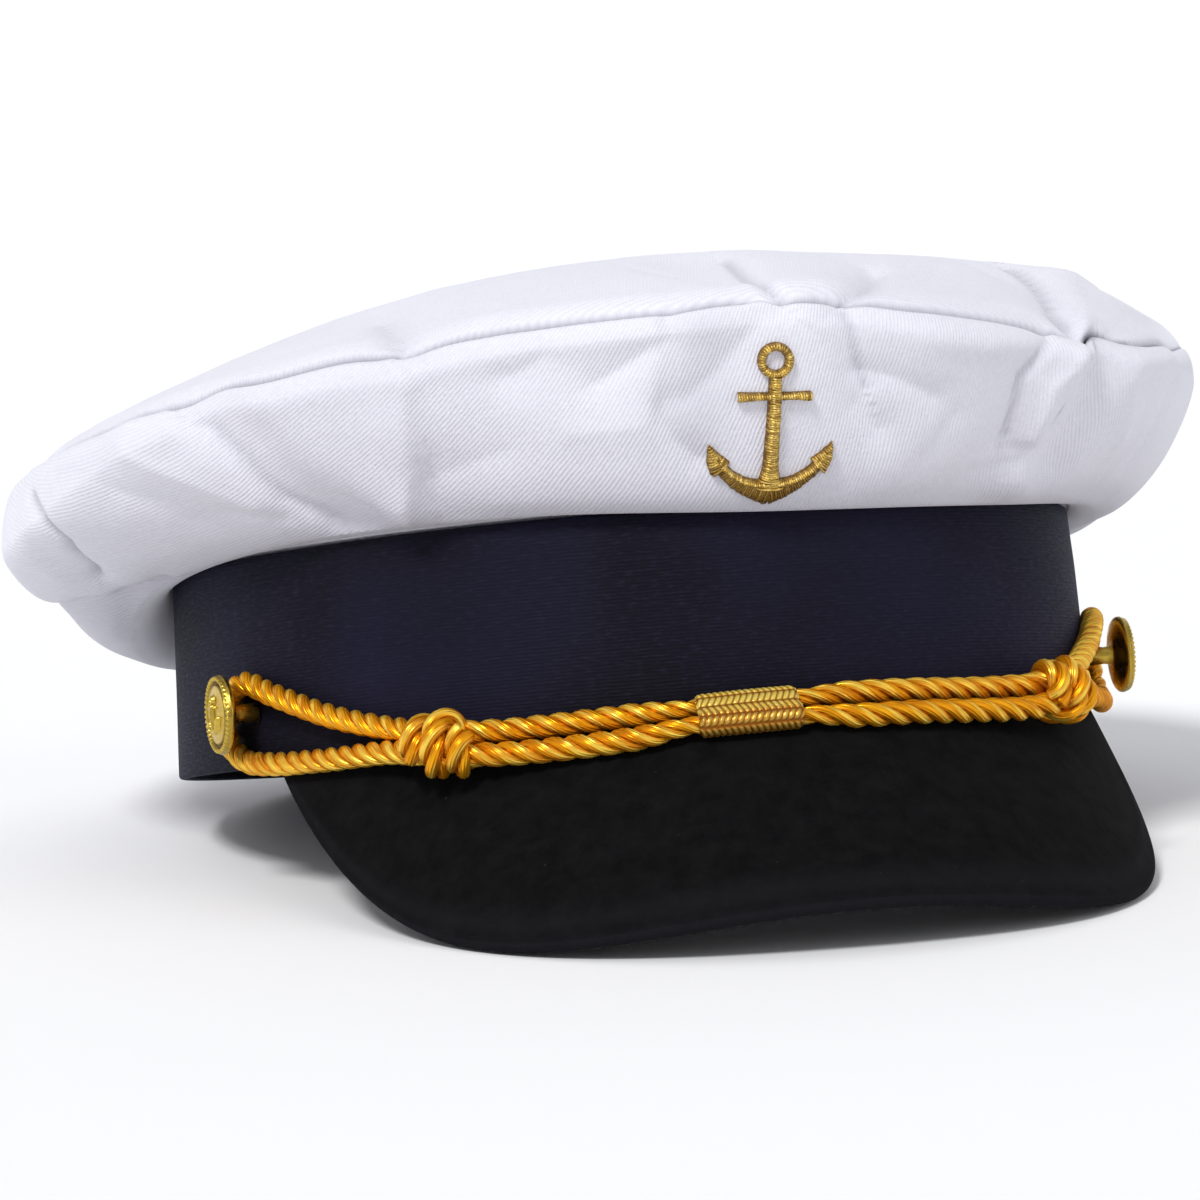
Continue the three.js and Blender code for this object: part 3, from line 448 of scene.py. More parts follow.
class Paint:
    """A material under construction: short calls add its nodes"""

    def __init__(self, name, **shader):
        self.material = bpy.data.materials.new(name)
        self.material.use_nodes = True
        self.tree = self.material.node_tree
        self.shader = self.tree.nodes["Principled BSDF"]
        for socket, value in shader.items():
            self.put(self.shader.inputs[socket.replace("_", " ")], value)

    def put(self, socket, value):
        if isinstance(value, bpy.types.NodeSocket):
            self.tree.links.new(value, socket)
        elif value is not None:
            socket.default_value = value

    def add(self, kind, *values, **settings):
        node = self.tree.nodes.new("ShaderNode" + kind)
        for name, value in settings.items():
            setattr(node, name, value)
        for socket, value in zip([s for s in node.inputs if s.enabled], values):
            self.put(socket, value)
        return node

    def math(self, operation, a, b=None):
        return self.add("Math", a, b, operation=operation).outputs[0]

    def times(self, a, b):
        return self.math("MULTIPLY", a, b)

    def wave(self, value, size=1):
        """Runs from -1 to 1 and back once for every size"""
        return self.math("SINE", self.times(value, 2 * math.pi / size))

    def mix(self, share, a, b):
        node = self.add("Mix", data_type="RGBA")
        for name, value in (("Factor_Float", share), ("A_Color", a), ("B_Color", b)):
            self.put(next(s for s in node.inputs if s.identifier == name), value)
        return next(s for s in node.outputs if s.identifier == "Result_Color")

    def place(self):
        return self.add("TexCoord").outputs["Object"]

    def cloth(self):
        split = self.add("SeparateXYZ", self.add("UVMap", uv_map="cloth").outputs[0])
        return split.outputs[0], split.outputs[1]

    def vector(self, x, y, z=0.0):
        return self.add("CombineXYZ", x, y, z).outputs[0]

    def noise(self, vector, scale, detail=2.0, roughness=0.5):
        node = self.add("TexNoise")
        for name, value in dict(Vector=vector, Scale=scale, Detail=detail, Roughness=roughness).items():
            self.put(node.inputs[name], value)
        return node.outputs[0]

    def ramp(self, value, low, high, to_low=0.0, to_high=1.0):
        return self.add("MapRange", value, low, high, to_low, to_high).outputs[0]

    def tone(self):
        return self.add("Attribute", attribute_name="tone").outputs["Fac"]

    def colour(self, value):
        self.put(self.shader.inputs["Base Color"], value)

    def rough(self, value):
        self.put(self.shader.inputs["Roughness"], value)

    def bump(self, height, distance):
        """distance is how far the surface moves from height 0 to height 1, in millimetres"""
        node = self.add("Bump")
        self.put(node.inputs["Height"], height)
        node.inputs["Distance"].default_value = distance * MM
        previous = self.shader.inputs["Normal"]
        if previous.is_linked:
            self.put(node.inputs["Normal"], previous.links[0].from_socket)
        self.put(previous, node.outputs[0])


def twill_paint():
    """Diagonal wales crossed by short threads, with painted shade in their grooves, pale specks as painted
    glints, faint patches of soil, and the painted shade that the tone attribute carries
    """
    wale_size, thread_size = 0.8, 0.62
    paint = Paint("white_twill", Roughness=0.85, Sheen_Weight=0.25, Sheen_Roughness=0.5,
                  Specular_IOR_Level=0.3)
    place = paint.place()
    u, v = paint.cloth()
    wander = paint.times(paint.noise(place, 170, 3.0), 0.8)
    wale = paint.math("ADD", paint.math("DIVIDE", v, wale_size), wander)
    row_shift = paint.times(paint.math("FLOOR", wale), 0.5)
    thread = paint.wave(paint.math("ADD", paint.math("DIVIDE", u, thread_size), row_shift))
    weave = paint.math("ADD", paint.wave(wale), paint.times(thread, 0.35))
    soil = paint.ramp(paint.noise(place, 22, 3.0), 0.35, 0.7)
    patch = paint.mix(soil, (0.82, 0.815, 0.895, 1), (0.77, 0.765, 0.85, 1))
    # Painted glints: pale specks at random, standing in for the highlights on single threads
    glint_fleck = paint.ramp(paint.noise(place, 900, 1.0), 0.3, 0.75)
    # Painted shade: the cloth is darker down in the weave's grooves, where the bump lies low
    groove_shaded = paint.mix(paint.ramp(weave, -1.2, 0.6), (0.735, 0.73, 0.815, 1), patch)
    glint_flecked = paint.mix(paint.times(glint_fleck, 0.3), groove_shaded, (0.88, 0.88, 0.94, 1))
    # Painted shade: the tone darkens the cloth towards a grey violet in creases and hollows, along the open
    # seam, near the roll and where the side faces down
    paint.colour(paint.mix(paint.tone(), (0.2, 0.19, 0.24, 1), glint_flecked))
    paint.bump(weave, 0.038)
    paint.bump(paint.noise(place, 1400, 2.0), 0.09)
    return paint.material


def navy_paint():
    """Fine ribs that run round the band, with worn streaks along them"""
    paint = Paint("navy_band", Sheen_Weight=0.025, Sheen_Roughness=0.4, Sheen_Tint=(0.35, 0.4, 1.0, 1.0),
                  Specular_IOR_Level=0.06)
    place = paint.place()
    u, v = paint.cloth()
    streak = paint.noise(paint.vector(paint.times(u, 0.45), paint.times(v, 1.9)), 1.0, 4.0, 0.65)
    broad = paint.noise(place, 18, 2.0)
    dark = paint.mix(paint.ramp(broad, 0.38, 0.66), (0.0062, 0.006, 0.0100, 1), (0.011, 0.0102, 0.0250, 1))
    paint.colour(paint.mix(paint.ramp(streak, 0.52, 0.85), dark, (0.017, 0.016, 0.036, 1)))
    paint.rough(paint.ramp(streak, 0.3, 0.8, 0.75, 0.5))
    paint.bump(paint.wave(v, 0.62), 0.018)
    paint.bump(streak, 0.07)
    return paint.material


def felt_paint():
    """Mottled felt with a few pale hairs, paler in a strip just inside the edge, and with a painted highlight
    along the rim
    """
    paint = Paint("black_felt", Roughness=0.92, Specular_IOR_Level=0.04)
    place = paint.place()
    mottle = paint.ramp(paint.noise(place, 240, 4.0, 0.7), 0.35, 0.7)
    base = paint.mix(mottle, (0.0038, 0.0038, 0.0042, 1), (0.0075, 0.0075, 0.008, 1))
    # Paler where the tone says: a strip just inside the edge, and a painted highlight along the rim
    paler_strip_and_rim_highlight = paint.mix(paint.tone(), base, (0.013, 0.013, 0.016, 1))
    stretched = paint.add("Mapping", place, None, (0.4, 0.9, 0.2), (1.0, 2.6, 1.7)).outputs[0]
    lint = paint.ramp(paint.noise(stretched, 420, 3.0, 0.8), 0.7, 0.76)
    paint.colour(paint.mix(paint.times(lint, 0.4), paler_strip_and_rim_highlight, (0.07, 0.07, 0.075, 1)))
    paint.bump(paint.noise(place, 1600, 3.0, 0.7), 0.16)
    paint.bump(paint.noise(place, 130, 2.0), 0.35)
    return paint.material


def cord_paint():
    """Fine shiny hairs laid round each strand, with painted shade of deep gold between the strands and a
    painted highlight along their crests
    """
    paint = Paint("gold_cord", Metallic=0.6, Specular_IOR_Level=0.6, Roughness=0.3,
                  Specular_Tint=(1.0, 0.72, 0.3, 1.0))
    u, v = paint.cloth()
    hair = paint.math("ADD", paint.times(u, 13.0), paint.math("DIVIDE", v, 1.9))
    lot = paint.noise(paint.vector(paint.times(hair, 0.6), paint.times(v, 0.12)), 1.0, 3.0)
    # Painted highlight: a bright band along each strand's crest, turned a little to one side and broken up by
    # the hairs
    turn = paint.times(paint.math("SUBTRACT", u, 0.1), 2 * math.pi)
    crest = paint.ramp(paint.math("COSINE", turn), 0.72, 1.0)
    glint = paint.times(crest, paint.ramp(lot, 0.3, 0.6))
    satin = paint.mix(paint.ramp(lot, 0.35, 0.68), (0.68, 0.21, 0.002, 1), (0.95, 0.43, 0.008, 1))
    light = paint.mix(glint, satin, (1.0, 0.7, 0.1, 1))
    # Painted shade: deep gold where the tone is low, between the strands
    paint.colour(paint.mix(paint.ramp(paint.tone(), 0.5, 0.95), (0.2, 0.035, 0.001, 1), light))
    paint.bump(paint.wave(hair), 0.035)
    return paint.material


def braid_paint():
    paint = Paint("gold_braid", Metallic=0.55, Specular_IOR_Level=0.7, Roughness=0.32,
                  Specular_Tint=(1.0, 0.8, 0.4, 1.0))
    place = paint.place()
    light = paint.mix(paint.noise(place, 500), (0.95, 0.58, 0.05, 1), (1.0, 0.84, 0.22, 1))
    # Painted shade: dark where the tone is low, between the stitches, towards the slide's lower side and on
    # its inside
    paint.colour(paint.mix(paint.ramp(paint.tone(), 0.1, 0.7), (0.28, 0.08, 0.003, 1), light))
    paint.bump(paint.noise(place, 2600, 2.0), 0.06)
    return paint.material


def brass_paint():
    paint = Paint("gold_button", Metallic=1.0)
    place = paint.place()
    worn = paint.mix(paint.noise(place, 700, 3.0), (0.54, 0.36, 0.04, 1), (0.74, 0.53, 0.1, 1))
    paint.colour(paint.mix(paint.ramp(paint.tone(), 0.15, 0.6), (0.2, 0.13, 0.025, 1), worn))
    paint.rough(paint.ramp(paint.noise(place, 900, 3.0), 0.3, 0.7, 0.24, 0.4))
    paint.bump(paint.noise(place, 1500, 2.0), 0.03)
    return paint.material


def thread_paint():
    paint = Paint("gold_thread", Metallic=0.7, Roughness=0.38, Specular_IOR_Level=0.6)
    place = paint.place()
    fine = paint.ramp(paint.noise(place, 2600, 2.0), 0.4, 0.66)
    glint = paint.mix(fine, (0.62, 0.38, 0.045, 1), (1.0, 0.78, 0.27, 1))
    # Painted shade where the tone is low, towards the ends of each stitch and on the keel; the stitches on
    # the keel's ridge are painted brighter as a highlight
    paint.colour(paint.mix(paint.tone(), (0.19, 0.085, 0.012, 1), glint))
    paint.bump(paint.noise(place, 3200, 2.0), 0.07)
    return paint.material


# Crown surface

def crown_row(angle):
    place = (np.asarray(angle, float) + 180) / CROWN_STEP
    first = np.floor(place).astype(int)
    t = (place - first)[..., None]
    a, b, c, d = (CROWN_ROWS[(first + k) % len(CROWN_ROWS)] for k in (-1, 0, 1, 2))
    blend = 0.5 * (2 * b + (c - a) * t + (2 * a - 5 * b + 4 * c - d) * t**2 + (3 * b - a - 3 * c + d) * t**3)
    row = dict(zip(CROWN_COLUMNS, np.moveaxis(blend, -1, 0)))
    row["angle"] = np.asarray(angle, float)
    return row


def wall_point(row, rise, inset):
    lean = row["slant"] - 1
    roll_out = row["roll_out"] - SLANT_INSET * lean * inset
    roll_height = row["roll_height"] + (CLOTH - SLANT_RISE * lean) * inset
    wide_out = row["wide_out"] - CLOTH * inset
    seam_out = row["seam_out"] - CLOTH * inset
    seam_height = row["seam_height"] - CLOTH * inset
    below = np.hypot(row["wide_out"] - row["roll_out"], row["wide_height"] - row["roll_height"])
    above = np.hypot(row["wide_out"] - row["seam_out"], row["wide_height"] - row["seam_height"])
    share = below / (below + above)
    low = math.pi / 2 * np.clip(rise / share, 0, 1)
    high = math.pi / 2 * np.clip((rise - share) / (1 - share), 0, 1)
    low_out = roll_out + (wide_out - roll_out) * np.sin(low) ** row["slant"]
    low_height = roll_height + (row["wide_height"] - roll_height) * (1 - np.cos(low) ** row["slant"])
    high_out = seam_out + (wide_out - seam_out) * np.cos(high)
    high_height = row["wide_height"] + (seam_height - row["wide_height"]) * np.sin(high)
    under = rise <= share
    return around(row["angle"], np.where(under, low_out, high_out), np.where(under, low_height, high_height))


def top_point(row, reach, lift):
    edge = around(row["angle"], row["seam_out"], row["seam_height"] + lift)
    centre_z = DOME_HEIGHT - GAP - CLOTH + lift
    fall = DOME_ROUND_SHARE * reach**2 + (1 - DOME_ROUND_SHARE) * reach ** row["dome"]
    x = edge[..., 0] * reach
    y = DOME_CENTRE_Y + (edge[..., 1] - DOME_CENTRE_Y) * reach
    z = centre_z + (edge[..., 2] - centre_z) * fall
    return np.stack(np.broadcast_arrays(x, y, z), -1)


# The wall's length at each whole degree, and the rise reached after each share of that length
TABLE_RISES = np.linspace(0, 1, 241)
TABLE_ANGLES = np.arange(-180, 181.0)
table_points = wall_point(crown_row(TABLE_ANGLES[:, None]), TABLE_RISES, 0)
table_lengths = np.cumsum(np.linalg.norm(np.diff(table_points, axis=1), axis=-1), axis=1)
table_lengths = np.pad(table_lengths, ((0, 0), (1, 0)))
WALL_LENGTHS = table_lengths[:, -1]
TABLE_SHARES = np.linspace(0, 1, 121)
RISE_TABLE = np.array([np.interp(TABLE_SHARES * run[-1], run, TABLE_RISES) for run in table_lengths])


def wrapped(angle):
    return (np.asarray(angle, float) + 180) % 360 - 180


def wall_length(angle):
    return np.interp(wrapped(angle), TABLE_ANGLES, WALL_LENGTHS)


def rise_at(angle, share):
    angle, share = np.broadcast_arrays(wrapped(angle), np.clip(share, 0, 1))
    i = np.clip(np.floor(angle + 180).astype(int), 0, 359)
    j = np.clip(np.floor(share * 120).astype(int), 0, 119)
    p, q = angle + 180 - i, share * 120 - j
    low = RISE_TABLE[i, j] * (1 - q) + RISE_TABLE[i, j + 1] * q
    high = RISE_TABLE[i + 1, j] * (1 - q) + RISE_TABLE[i + 1, j + 1] * q
    return low * (1 - p) + high * p


def seam_sag(angle, from_seam):
    """How far down the seam and the cloth near it are pulled"""
    beside = bell(wrapped(angle) - SEAM_SAG["angle"], SEAM_SAG["width"])
    return SEAM_SAG["depth"] * beside * bell(from_seam, SEAM_SAG["reach"])


def bare_wall(angle, share):
    """The outer face of the side without folds, at a share of the wall's length up from the roll"""
    point = wall_point(crown_row(angle), rise_at(angle, share), 0)
    point[..., 2] += SEAM_RAISE * smooth(share, 0.7, 1) - seam_sag(angle, (1 - share) * wall_length(angle))
    return point


def bare_top(angle, reach):
    row = crown_row(angle)
    from_seam = (1 - reach) * (BAND_HALF_LENGTH + row["seam_out"])
    lift = GAP + CLOTH - (GAP + CLOTH - SEAM_RAISE) * np.exp(-from_seam / SEAM_BLEND)
    point = top_point(row, reach, lift)
    point[..., 2] -= seam_sag(angle, from_seam)
    return point


def bare_top_inward(angle, share):
    """The bare top by the share of the way in from the seam"""
    return bare_top(angle, 1 - share)


def bare_place(angle, share):
    return bare_wall(angle, share) if share <= 1 else bare_top(angle, 2 - share)


def normals_of(surface, angle, share, step):
    """Outward normals of surface(angle, share), by small steps"""
    across = surface(angle + 0.3, share) - surface(angle - 0.3, share)
    upward = surface(angle, np.clip(share + step, 0, 1)) - surface(angle, np.clip(share - step, 0, 1))
    return unit(np.cross(across, upward))


def fold_place(angle, rise):
    row = crown_row(angle)
    return wall_point(row, rise, 0) if rise <= 1 else top_point(row, 2 - rise, GAP + CLOTH)


def fold_normal(angle, rise):
    up = fold_place(angle, rise + 0.02) - fold_place(angle, max(rise - 0.02, 0))
    along = fold_place(angle + 1, rise) - fold_place(angle - 1, rise)
    return unit(np.cross(along, up))


def nearest_on(points, start, end):
    run = end - start
    t = np.clip(dot(points - start, run) / max(dot(run, run), 1e-9), 0, 1)
    return start + t[..., None] * run


def folded(points, fade):
    """Moves points by the broad folds, as the solid crown has them"""
    moved = points.copy()
    for start, end, width, depth in FOLD_ROWS:
        a, b = fold_place(*start), fold_place(*end)
        inward = -fold_normal((start[0] + end[0]) / 2, (start[1] + end[1]) / 2)
        away = np.linalg.norm(nearest_on(points, a, b) - points, axis=-1)
        moved += (depth * fade * bell(away, width))[..., None] * inward
    return moved


def line_through(stops):
    """Points on the bare cloth along a line through stops (angle, share)"""
    at = np.linspace(0, len(stops) - 1, 6 * (len(stops) - 1) + 1)
    angles = np.interp(at, range(len(stops)), [s[0] for s in stops])
    shares = np.interp(at, range(len(stops)), [s[1] for s in stops])
    return np.array([bare_place(a, s) for a, s in zip(angles, shares)])


def from_line(points, normals, line):
    """How far each point is from a line on the cloth, and above 0 where it is to its right"""
    best = np.full(points.shape[:-1], np.inf)
    side = np.zeros(points.shape[:-1])
    for a, b in zip(line[:-1], line[1:]):
        offset = points - nearest_on(points, a, b)
        away = np.linalg.norm(offset, axis=-1)
        closer = away < best
        best = np.where(closer, away, best)
        side = np.where(closer, dot(offset, np.cross(b - a, normals)), side)
    return best, side


CREASE_LINES = [(line_through(stops), *sizes) for stops, *sizes in CREASE_ROWS]
SHADE_LINES = [(line_through(stops), *sizes) for stops, *sizes in SHADE_ROWS]


def creased(points, normals):
    """How far outwards the creases move each point, and how light the painted shade of the narrow deep
    creases and of the shade rows leaves it
    """
    total = np.zeros(points.shape[:-1])
    light = np.ones(points.shape[:-1])
    for line, left, right, depth in CREASE_LINES:
        best, side = from_line(points, normals, line)
        width = np.where(side > 0, right, left)
        total -= depth * np.exp(-(np.sqrt(best**2 + 0.16) - 0.4) / width)
        if depth > SHADED_CREASE["deeper_than"] and min(left, right) < SHADED_CREASE["narrower_than"]:
            light = np.minimum(light, 1 - SHADED_CREASE["share"] * bell(best, SHADED_CREASE["width"]))
    for line, left, right, share in SHADE_LINES:
        best, side = from_line(points, normals, line)
        light = light * (1 - share * bell(best, np.where(side > 0, right, left)))
    return total, light


def seam_shows(angle):
    """1 where the seam lies open, and less where the cloth closes over it"""
    shows = 1
    for middle, width, share in SEAM_COVERS:
        shows = shows * (1 - share * bell(wrapped(angle) - middle, width))
    return shows


# Painted shade along the seam, less where the cloth closes over it
def seam_light(angle, from_seam):
    return 1 - SEAM_SHADE["share"] * bell(from_seam, SEAM_SHADE["width"]) * seam_shows(angle)


def seamed(angle, from_seam):
    """How far outwards the cloth stands near the seam: a groove, a puff beside it and short puckers"""
    angle, from_seam = np.broadcast_arrays(wrapped(angle), from_seam)
    turn = np.radians(angle)
    ring = 40 * np.stack([np.sin(turn), np.cos(turn), 0 * turn], -1)
    groove = -SEAM_DEPTH * bell(from_seam, SEAM_WIDTH) * seam_shows(angle)
    puff = SEAM_PUFF["height"] * bell(from_seam - SEAM_PUFF["away"], SEAM_PUFF["width"])
    puff = puff * (1 + 0.7 * lattice_noise(ring, 6, 3))
    pucker = PUCKER["height"] * lattice_noise(ring, PUCKER["size"], 5) * np.exp(-from_seam / PUCKER["fade"])
    return groove + puff + pucker * smooth(from_seam, 0.3, 2.5)


def rippled(points):
    return sum(height * lattice_noise(points, size, seed) for height, size, seed in RIPPLES)


def side_cloth(angle, share):
    """The outer face of the side of the crown as it shows, and how light its cloth is painted: shade in
    creases and hollows, by the seam, near the roll and where it faces down
    """
    angle, share = np.broadcast_arrays(np.asarray(angle, float), np.asarray(share, float))
    bare = bare_wall(angle, share)
    normal = normals_of(bare_wall, angle, share, 0.01)
    fade = np.clip(rise_at(angle, share) / WALL_FADE, 0, 1)
    soft = smooth(share, 0, 0.12)
    from_seam = (1 - share) * wall_length(angle)
    out, light = creased(bare, normal)
    out = out * smooth(share, -0.02, 0.06) + rippled(bare) * soft + seamed(angle, from_seam)
    light = light * seam_light(angle, from_seam) * (1 - FOOT_SHADE * (1 - smooth(share, -0.05, 0.3)))
    faces_down = smooth(-normal[..., 2], UNDER_SHADE["from"], UNDER_SHADE["to"])
    light = light * (1 - UNDER_SHADE["share"] * faces_down)
    return folded(bare, fade) + out[..., None] * normal, light


def top_normals(angle, reach):
    """Outward normals of the bare top, upright at its middle"""
    normal = normals_of(bare_top_inward, angle, 1 - reach, 0.01)
    middle = smooth(reach, 0, 0.15)[..., None]
    return unit(normal * middle + np.array([0, 0, 1.0]) * (1 - middle))


def top_cloth(angle, reach):
    """The outer face of the top of the crown as it shows, and how light its cloth is painted: shade in
    creases and hollows and by the seam
    """
    angle, reach = np.broadcast_arrays(np.asarray(angle, float), np.asarray(reach, float))
    bare = bare_top(angle, reach)
    normal = top_normals(angle, reach)
    from_seam = (1 - reach) * (BAND_HALF_LENGTH + crown_row(angle)["seam_out"])
    out, light = creased(bare, normal)
    out = out + rippled(bare) + seamed(angle, from_seam)
    light = light * seam_light(angle, from_seam)
    return folded(bare, np.clip(reach / TOP_FADE, 0, 1)) + out[..., None] * normal, light


# Crown pieces

CROWN_STEPS = 720
CROWN_ANGLES = -180 + 360 * np.arange(CROWN_STEPS) / CROWN_STEPS
# The flat ring that the side is cut from, and the twill's direction at its front and on the top, in degrees
RING_RADIUS = 96
RING_WIDTH = 42
TWILL_AT_FRONT = 72
TWILL_ON_TOP = 4
# The top's half length, and how far in from the seam its first rows lie
TOP_HALF = 122
NEAR_SEAM = np.array([0, 0.35, 0.7, 1.1, 1.6, 2.2, 3, 4, 5, 6.2, 7.6, 9])


def twill_flat(angle, up):
    """Cloth coordinates in millimetres on the side's flat ring, the first one along the twill"""
    turn = np.radians(angle) + math.radians(TWILL_AT_FRONT)
    ring = RING_RADIUS + up
    return np.stack([ring * np.sin(turn), -ring * np.cos(turn)], -1)


def crown_side(paint):
    """A shell: up outside from its hem in the band, round the roll to a lip in the seam, and back inside"""
    angle = CROWN_ANGLES[:, None]
    row = crown_row(angle)
    rim = BAND_HEIGHT + HEM_LIFT
    hem_out = -BAND_TAPER - BAND_WALL - GAP
    foot_out = -BAND_TAPER + GAP
    arc = np.linspace(0, math.pi / 2, 9)[:-1]

    def hem(inset):
        heights = np.array([BAND_HEIGHT - HEM_HEIGHT, BAND_HEIGHT - 3.5, rim - 0.3 + CLOTH * inset])
        return around(angle, np.full(3, hem_out - CLOTH * inset), heights)

    def under(inset):
        roll = wall_point(row, 0, inset)
        roll_out = row["roll_out"] - SLANT_INSET * (row["slant"] - 1) * inset
        start_out, start_height = foot_out + CLOTH * inset, rim + CLOTH * inset
        out = start_out + (roll_out - start_out) * (1 - np.cos(arc))
        return around(angle, out, start_height - (start_height - roll[..., 2]) * np.sin(arc))

    shares = np.linspace(0, 1, 76)
    wall, light = side_cloth(angle, shares)
    edge_normal = normals_of(bare_wall, angle, np.array([0.985]), 0.01)
    lip = wall[:, -1:] - SEAM_LIP * edge_normal
    inner_wall = wall[:, ::3] - CLOTH * normals_of(bare_wall, angle, shares[::3], 0.01)
    inner = np.concatenate([inner_wall[:, ::-1], under(1)[:, ::-1], hem(1)[:, ::-1]], 1)
    outer = np.concatenate([hem(0), under(0), wall, lip], 1)
    before = hem(0).shape[1] + len(arc)
    hidden, beyond = -12, RING_WIDTH + 2
    up = [np.linspace(hidden, 0, before, endpoint=False), shares * RING_WIDTH, [beyond]]
    up = np.concatenate([*up, np.linspace(beyond, hidden, inner.shape[1])])
    closing = np.append(CROWN_ANGLES, 180)[:, None]
    flat = twill_flat(closing, np.broadcast_to(up, (CROWN_STEPS + 1, len(up))))
    # The tone is painted shade: low on the hem and round the roll, the wall's painted light on the wall, and
    # none on the lip and inside
    tone = np.full((CROWN_STEPS, len(up)), 1 - FOOT_SHADE)
    tone[:, before:before + len(shares)] = light
    tone[:, before + len(shares):] = 1
    build = Build("crown_side_cloth")
    build.grid(np.concatenate([outer, inner], 1), True, True, flat, tone)
    build.make(paint, "crown_side")


def crown_top(paint):
    """A shell: from the middle of its inside out to a lip in the seam, and back over the dome"""
    angle = CROWN_ANGLES[:, None]
    near = 1 - NEAR_SEAM / TOP_HALF
    reaches = np.concatenate([near, np.linspace(near[-1], 0, 48)[1:]])
    outer, light = top_cloth(angle, reaches)
    outer[:, -1] = outer[:, -1].mean(0)
    edge_normal = normals_of(bare_top_inward, angle, np.array([0.015]), 0.01)
    lip = outer[:, :1] - SEAM_LIP * edge_normal
    inner_reaches = np.linspace(0, 0.965, 22)
    inner = top_cloth(angle, inner_reaches)[0] - CLOTH * top_normals(angle, inner_reaches)
    inner[:, 0] = inner[:, 0].mean(0)
    points = np.concatenate([inner, lip, outer], 1)
    flat = points[..., :2]
    flat = np.concatenate([flat, flat[:1]], 0)
    c, s = math.cos(math.radians(TWILL_ON_TOP)), math.sin(math.radians(TWILL_ON_TOP))
    flat = np.stack([flat[..., 0] * c + flat[..., 1] * s, flat[..., 1] * c - flat[..., 0] * s], -1)
    # The tone is the painted shade of the top's outside, and none inside
    tone = np.concatenate([np.ones(inner.shape[:2]), light[:, :1], light], 1)
    build = Build("crown_top_cloth")
    build.grid(points, True, False, flat, tone)
    build.make(paint, "crown_top")


# Band and peak

def root_height(share):
    """How high the band's lower edge is arched over the peak"""
    return np.where(np.abs(share) < 1, BAND_ARCH * np.cos(math.pi / 2 * np.clip(share, -1, 1)) ** 2, 0)


def band_out(height):
    return -BAND_TAPER * np.maximum(height, 0) / BAND_HEIGHT


def band(paint):
    steps = 540
    mean_radius = 95
    angle = (-180 + 360 * np.arange(steps) / steps)[:, None]
    low = root_height(angle / PEAK_HALF_ANGLE)
    bevel = 0.8
    turns = np.radians([0, 30, 60, 90])
    climb = np.linspace(0, 1, 22)
    span = BAND_HEIGHT - low - 2 * bevel
    sections = [
        (-bevel * (1 - np.sin(turns)), low + bevel * (1 - np.cos(turns))),
        (0 * climb, low + bevel + span * climb),
        (-bevel * (1 - np.cos(turns)), BAND_HEIGHT - bevel + bevel * np.sin(turns) + 0 * low),
        (-BAND_WALL + bevel * (1 - np.sin(turns)), BAND_HEIGHT - bevel + bevel * np.cos(turns) + 0 * low),
        (-BAND_WALL + 0 * climb[::3], low + bevel + span * climb[::-3]),
        (-BAND_WALL + bevel * (1 - np.cos(turns)), low + bevel * (1 - np.sin(turns))),
    ]
    out = np.concatenate([np.broadcast_to(o, h.shape) for o, h in sections], 1)
    height = np.concatenate([h for o, h in sections], 1)
    points = around(angle, out + band_out(height), height)
    free_part = smooth(height, 4, 20) * smooth(-height, -37, -26)
    buckle = 0.35 * lattice_noise(points * (1, 1, 0.4), 26, 8) * free_part
    points += buckle[..., None] * outward_at(angle)
    floor = -REST_PLACE[2] / MM
    sunk = np.maximum(floor - turned(points)[..., 2], 0)
    points[..., 2] += sunk / math.cos(REST_TILT)
    flat = np.stack([np.radians(angle) * mean_radius + 0 * height, height + 60 * (out < -1)], -1)
    last = flat[:1] + (2 * math.pi * mean_radius, 0)
    build = Build("band_cloth")
    build.grid(points, True, True, np.concatenate([flat, last]))
    build.make(paint, "band")


def peak_drop(share):
    """How far below level the peak runs, at a share of its half width"""
    return np.radians(PEAK_DROP[0] + PEAK_DROP[1] * share**2 + PEAK_DROP[2] * share**4)


def peak_along(share):
    drop = peak_drop(share)
    fan = np.radians(share * PEAK_HALF_ANGLE * (PEAK_FAN[0] + PEAK_FAN[1] * share**2))
    return np.stack([np.cos(drop) * np.sin(fan), -np.cos(drop) * np.cos(fan), -np.sin(drop)], -1)


def peak_reach(share):
    bow = 1 + PEAK_BOW * share**2
    return PEAK_REACH * bow * (1 - np.abs(share) ** PEAK_CORNER) ** (1 / PEAK_TIP)


def peak_root(share):
    return around(share * PEAK_HALF_ANGLE, 0, root_height(share) - GAP)


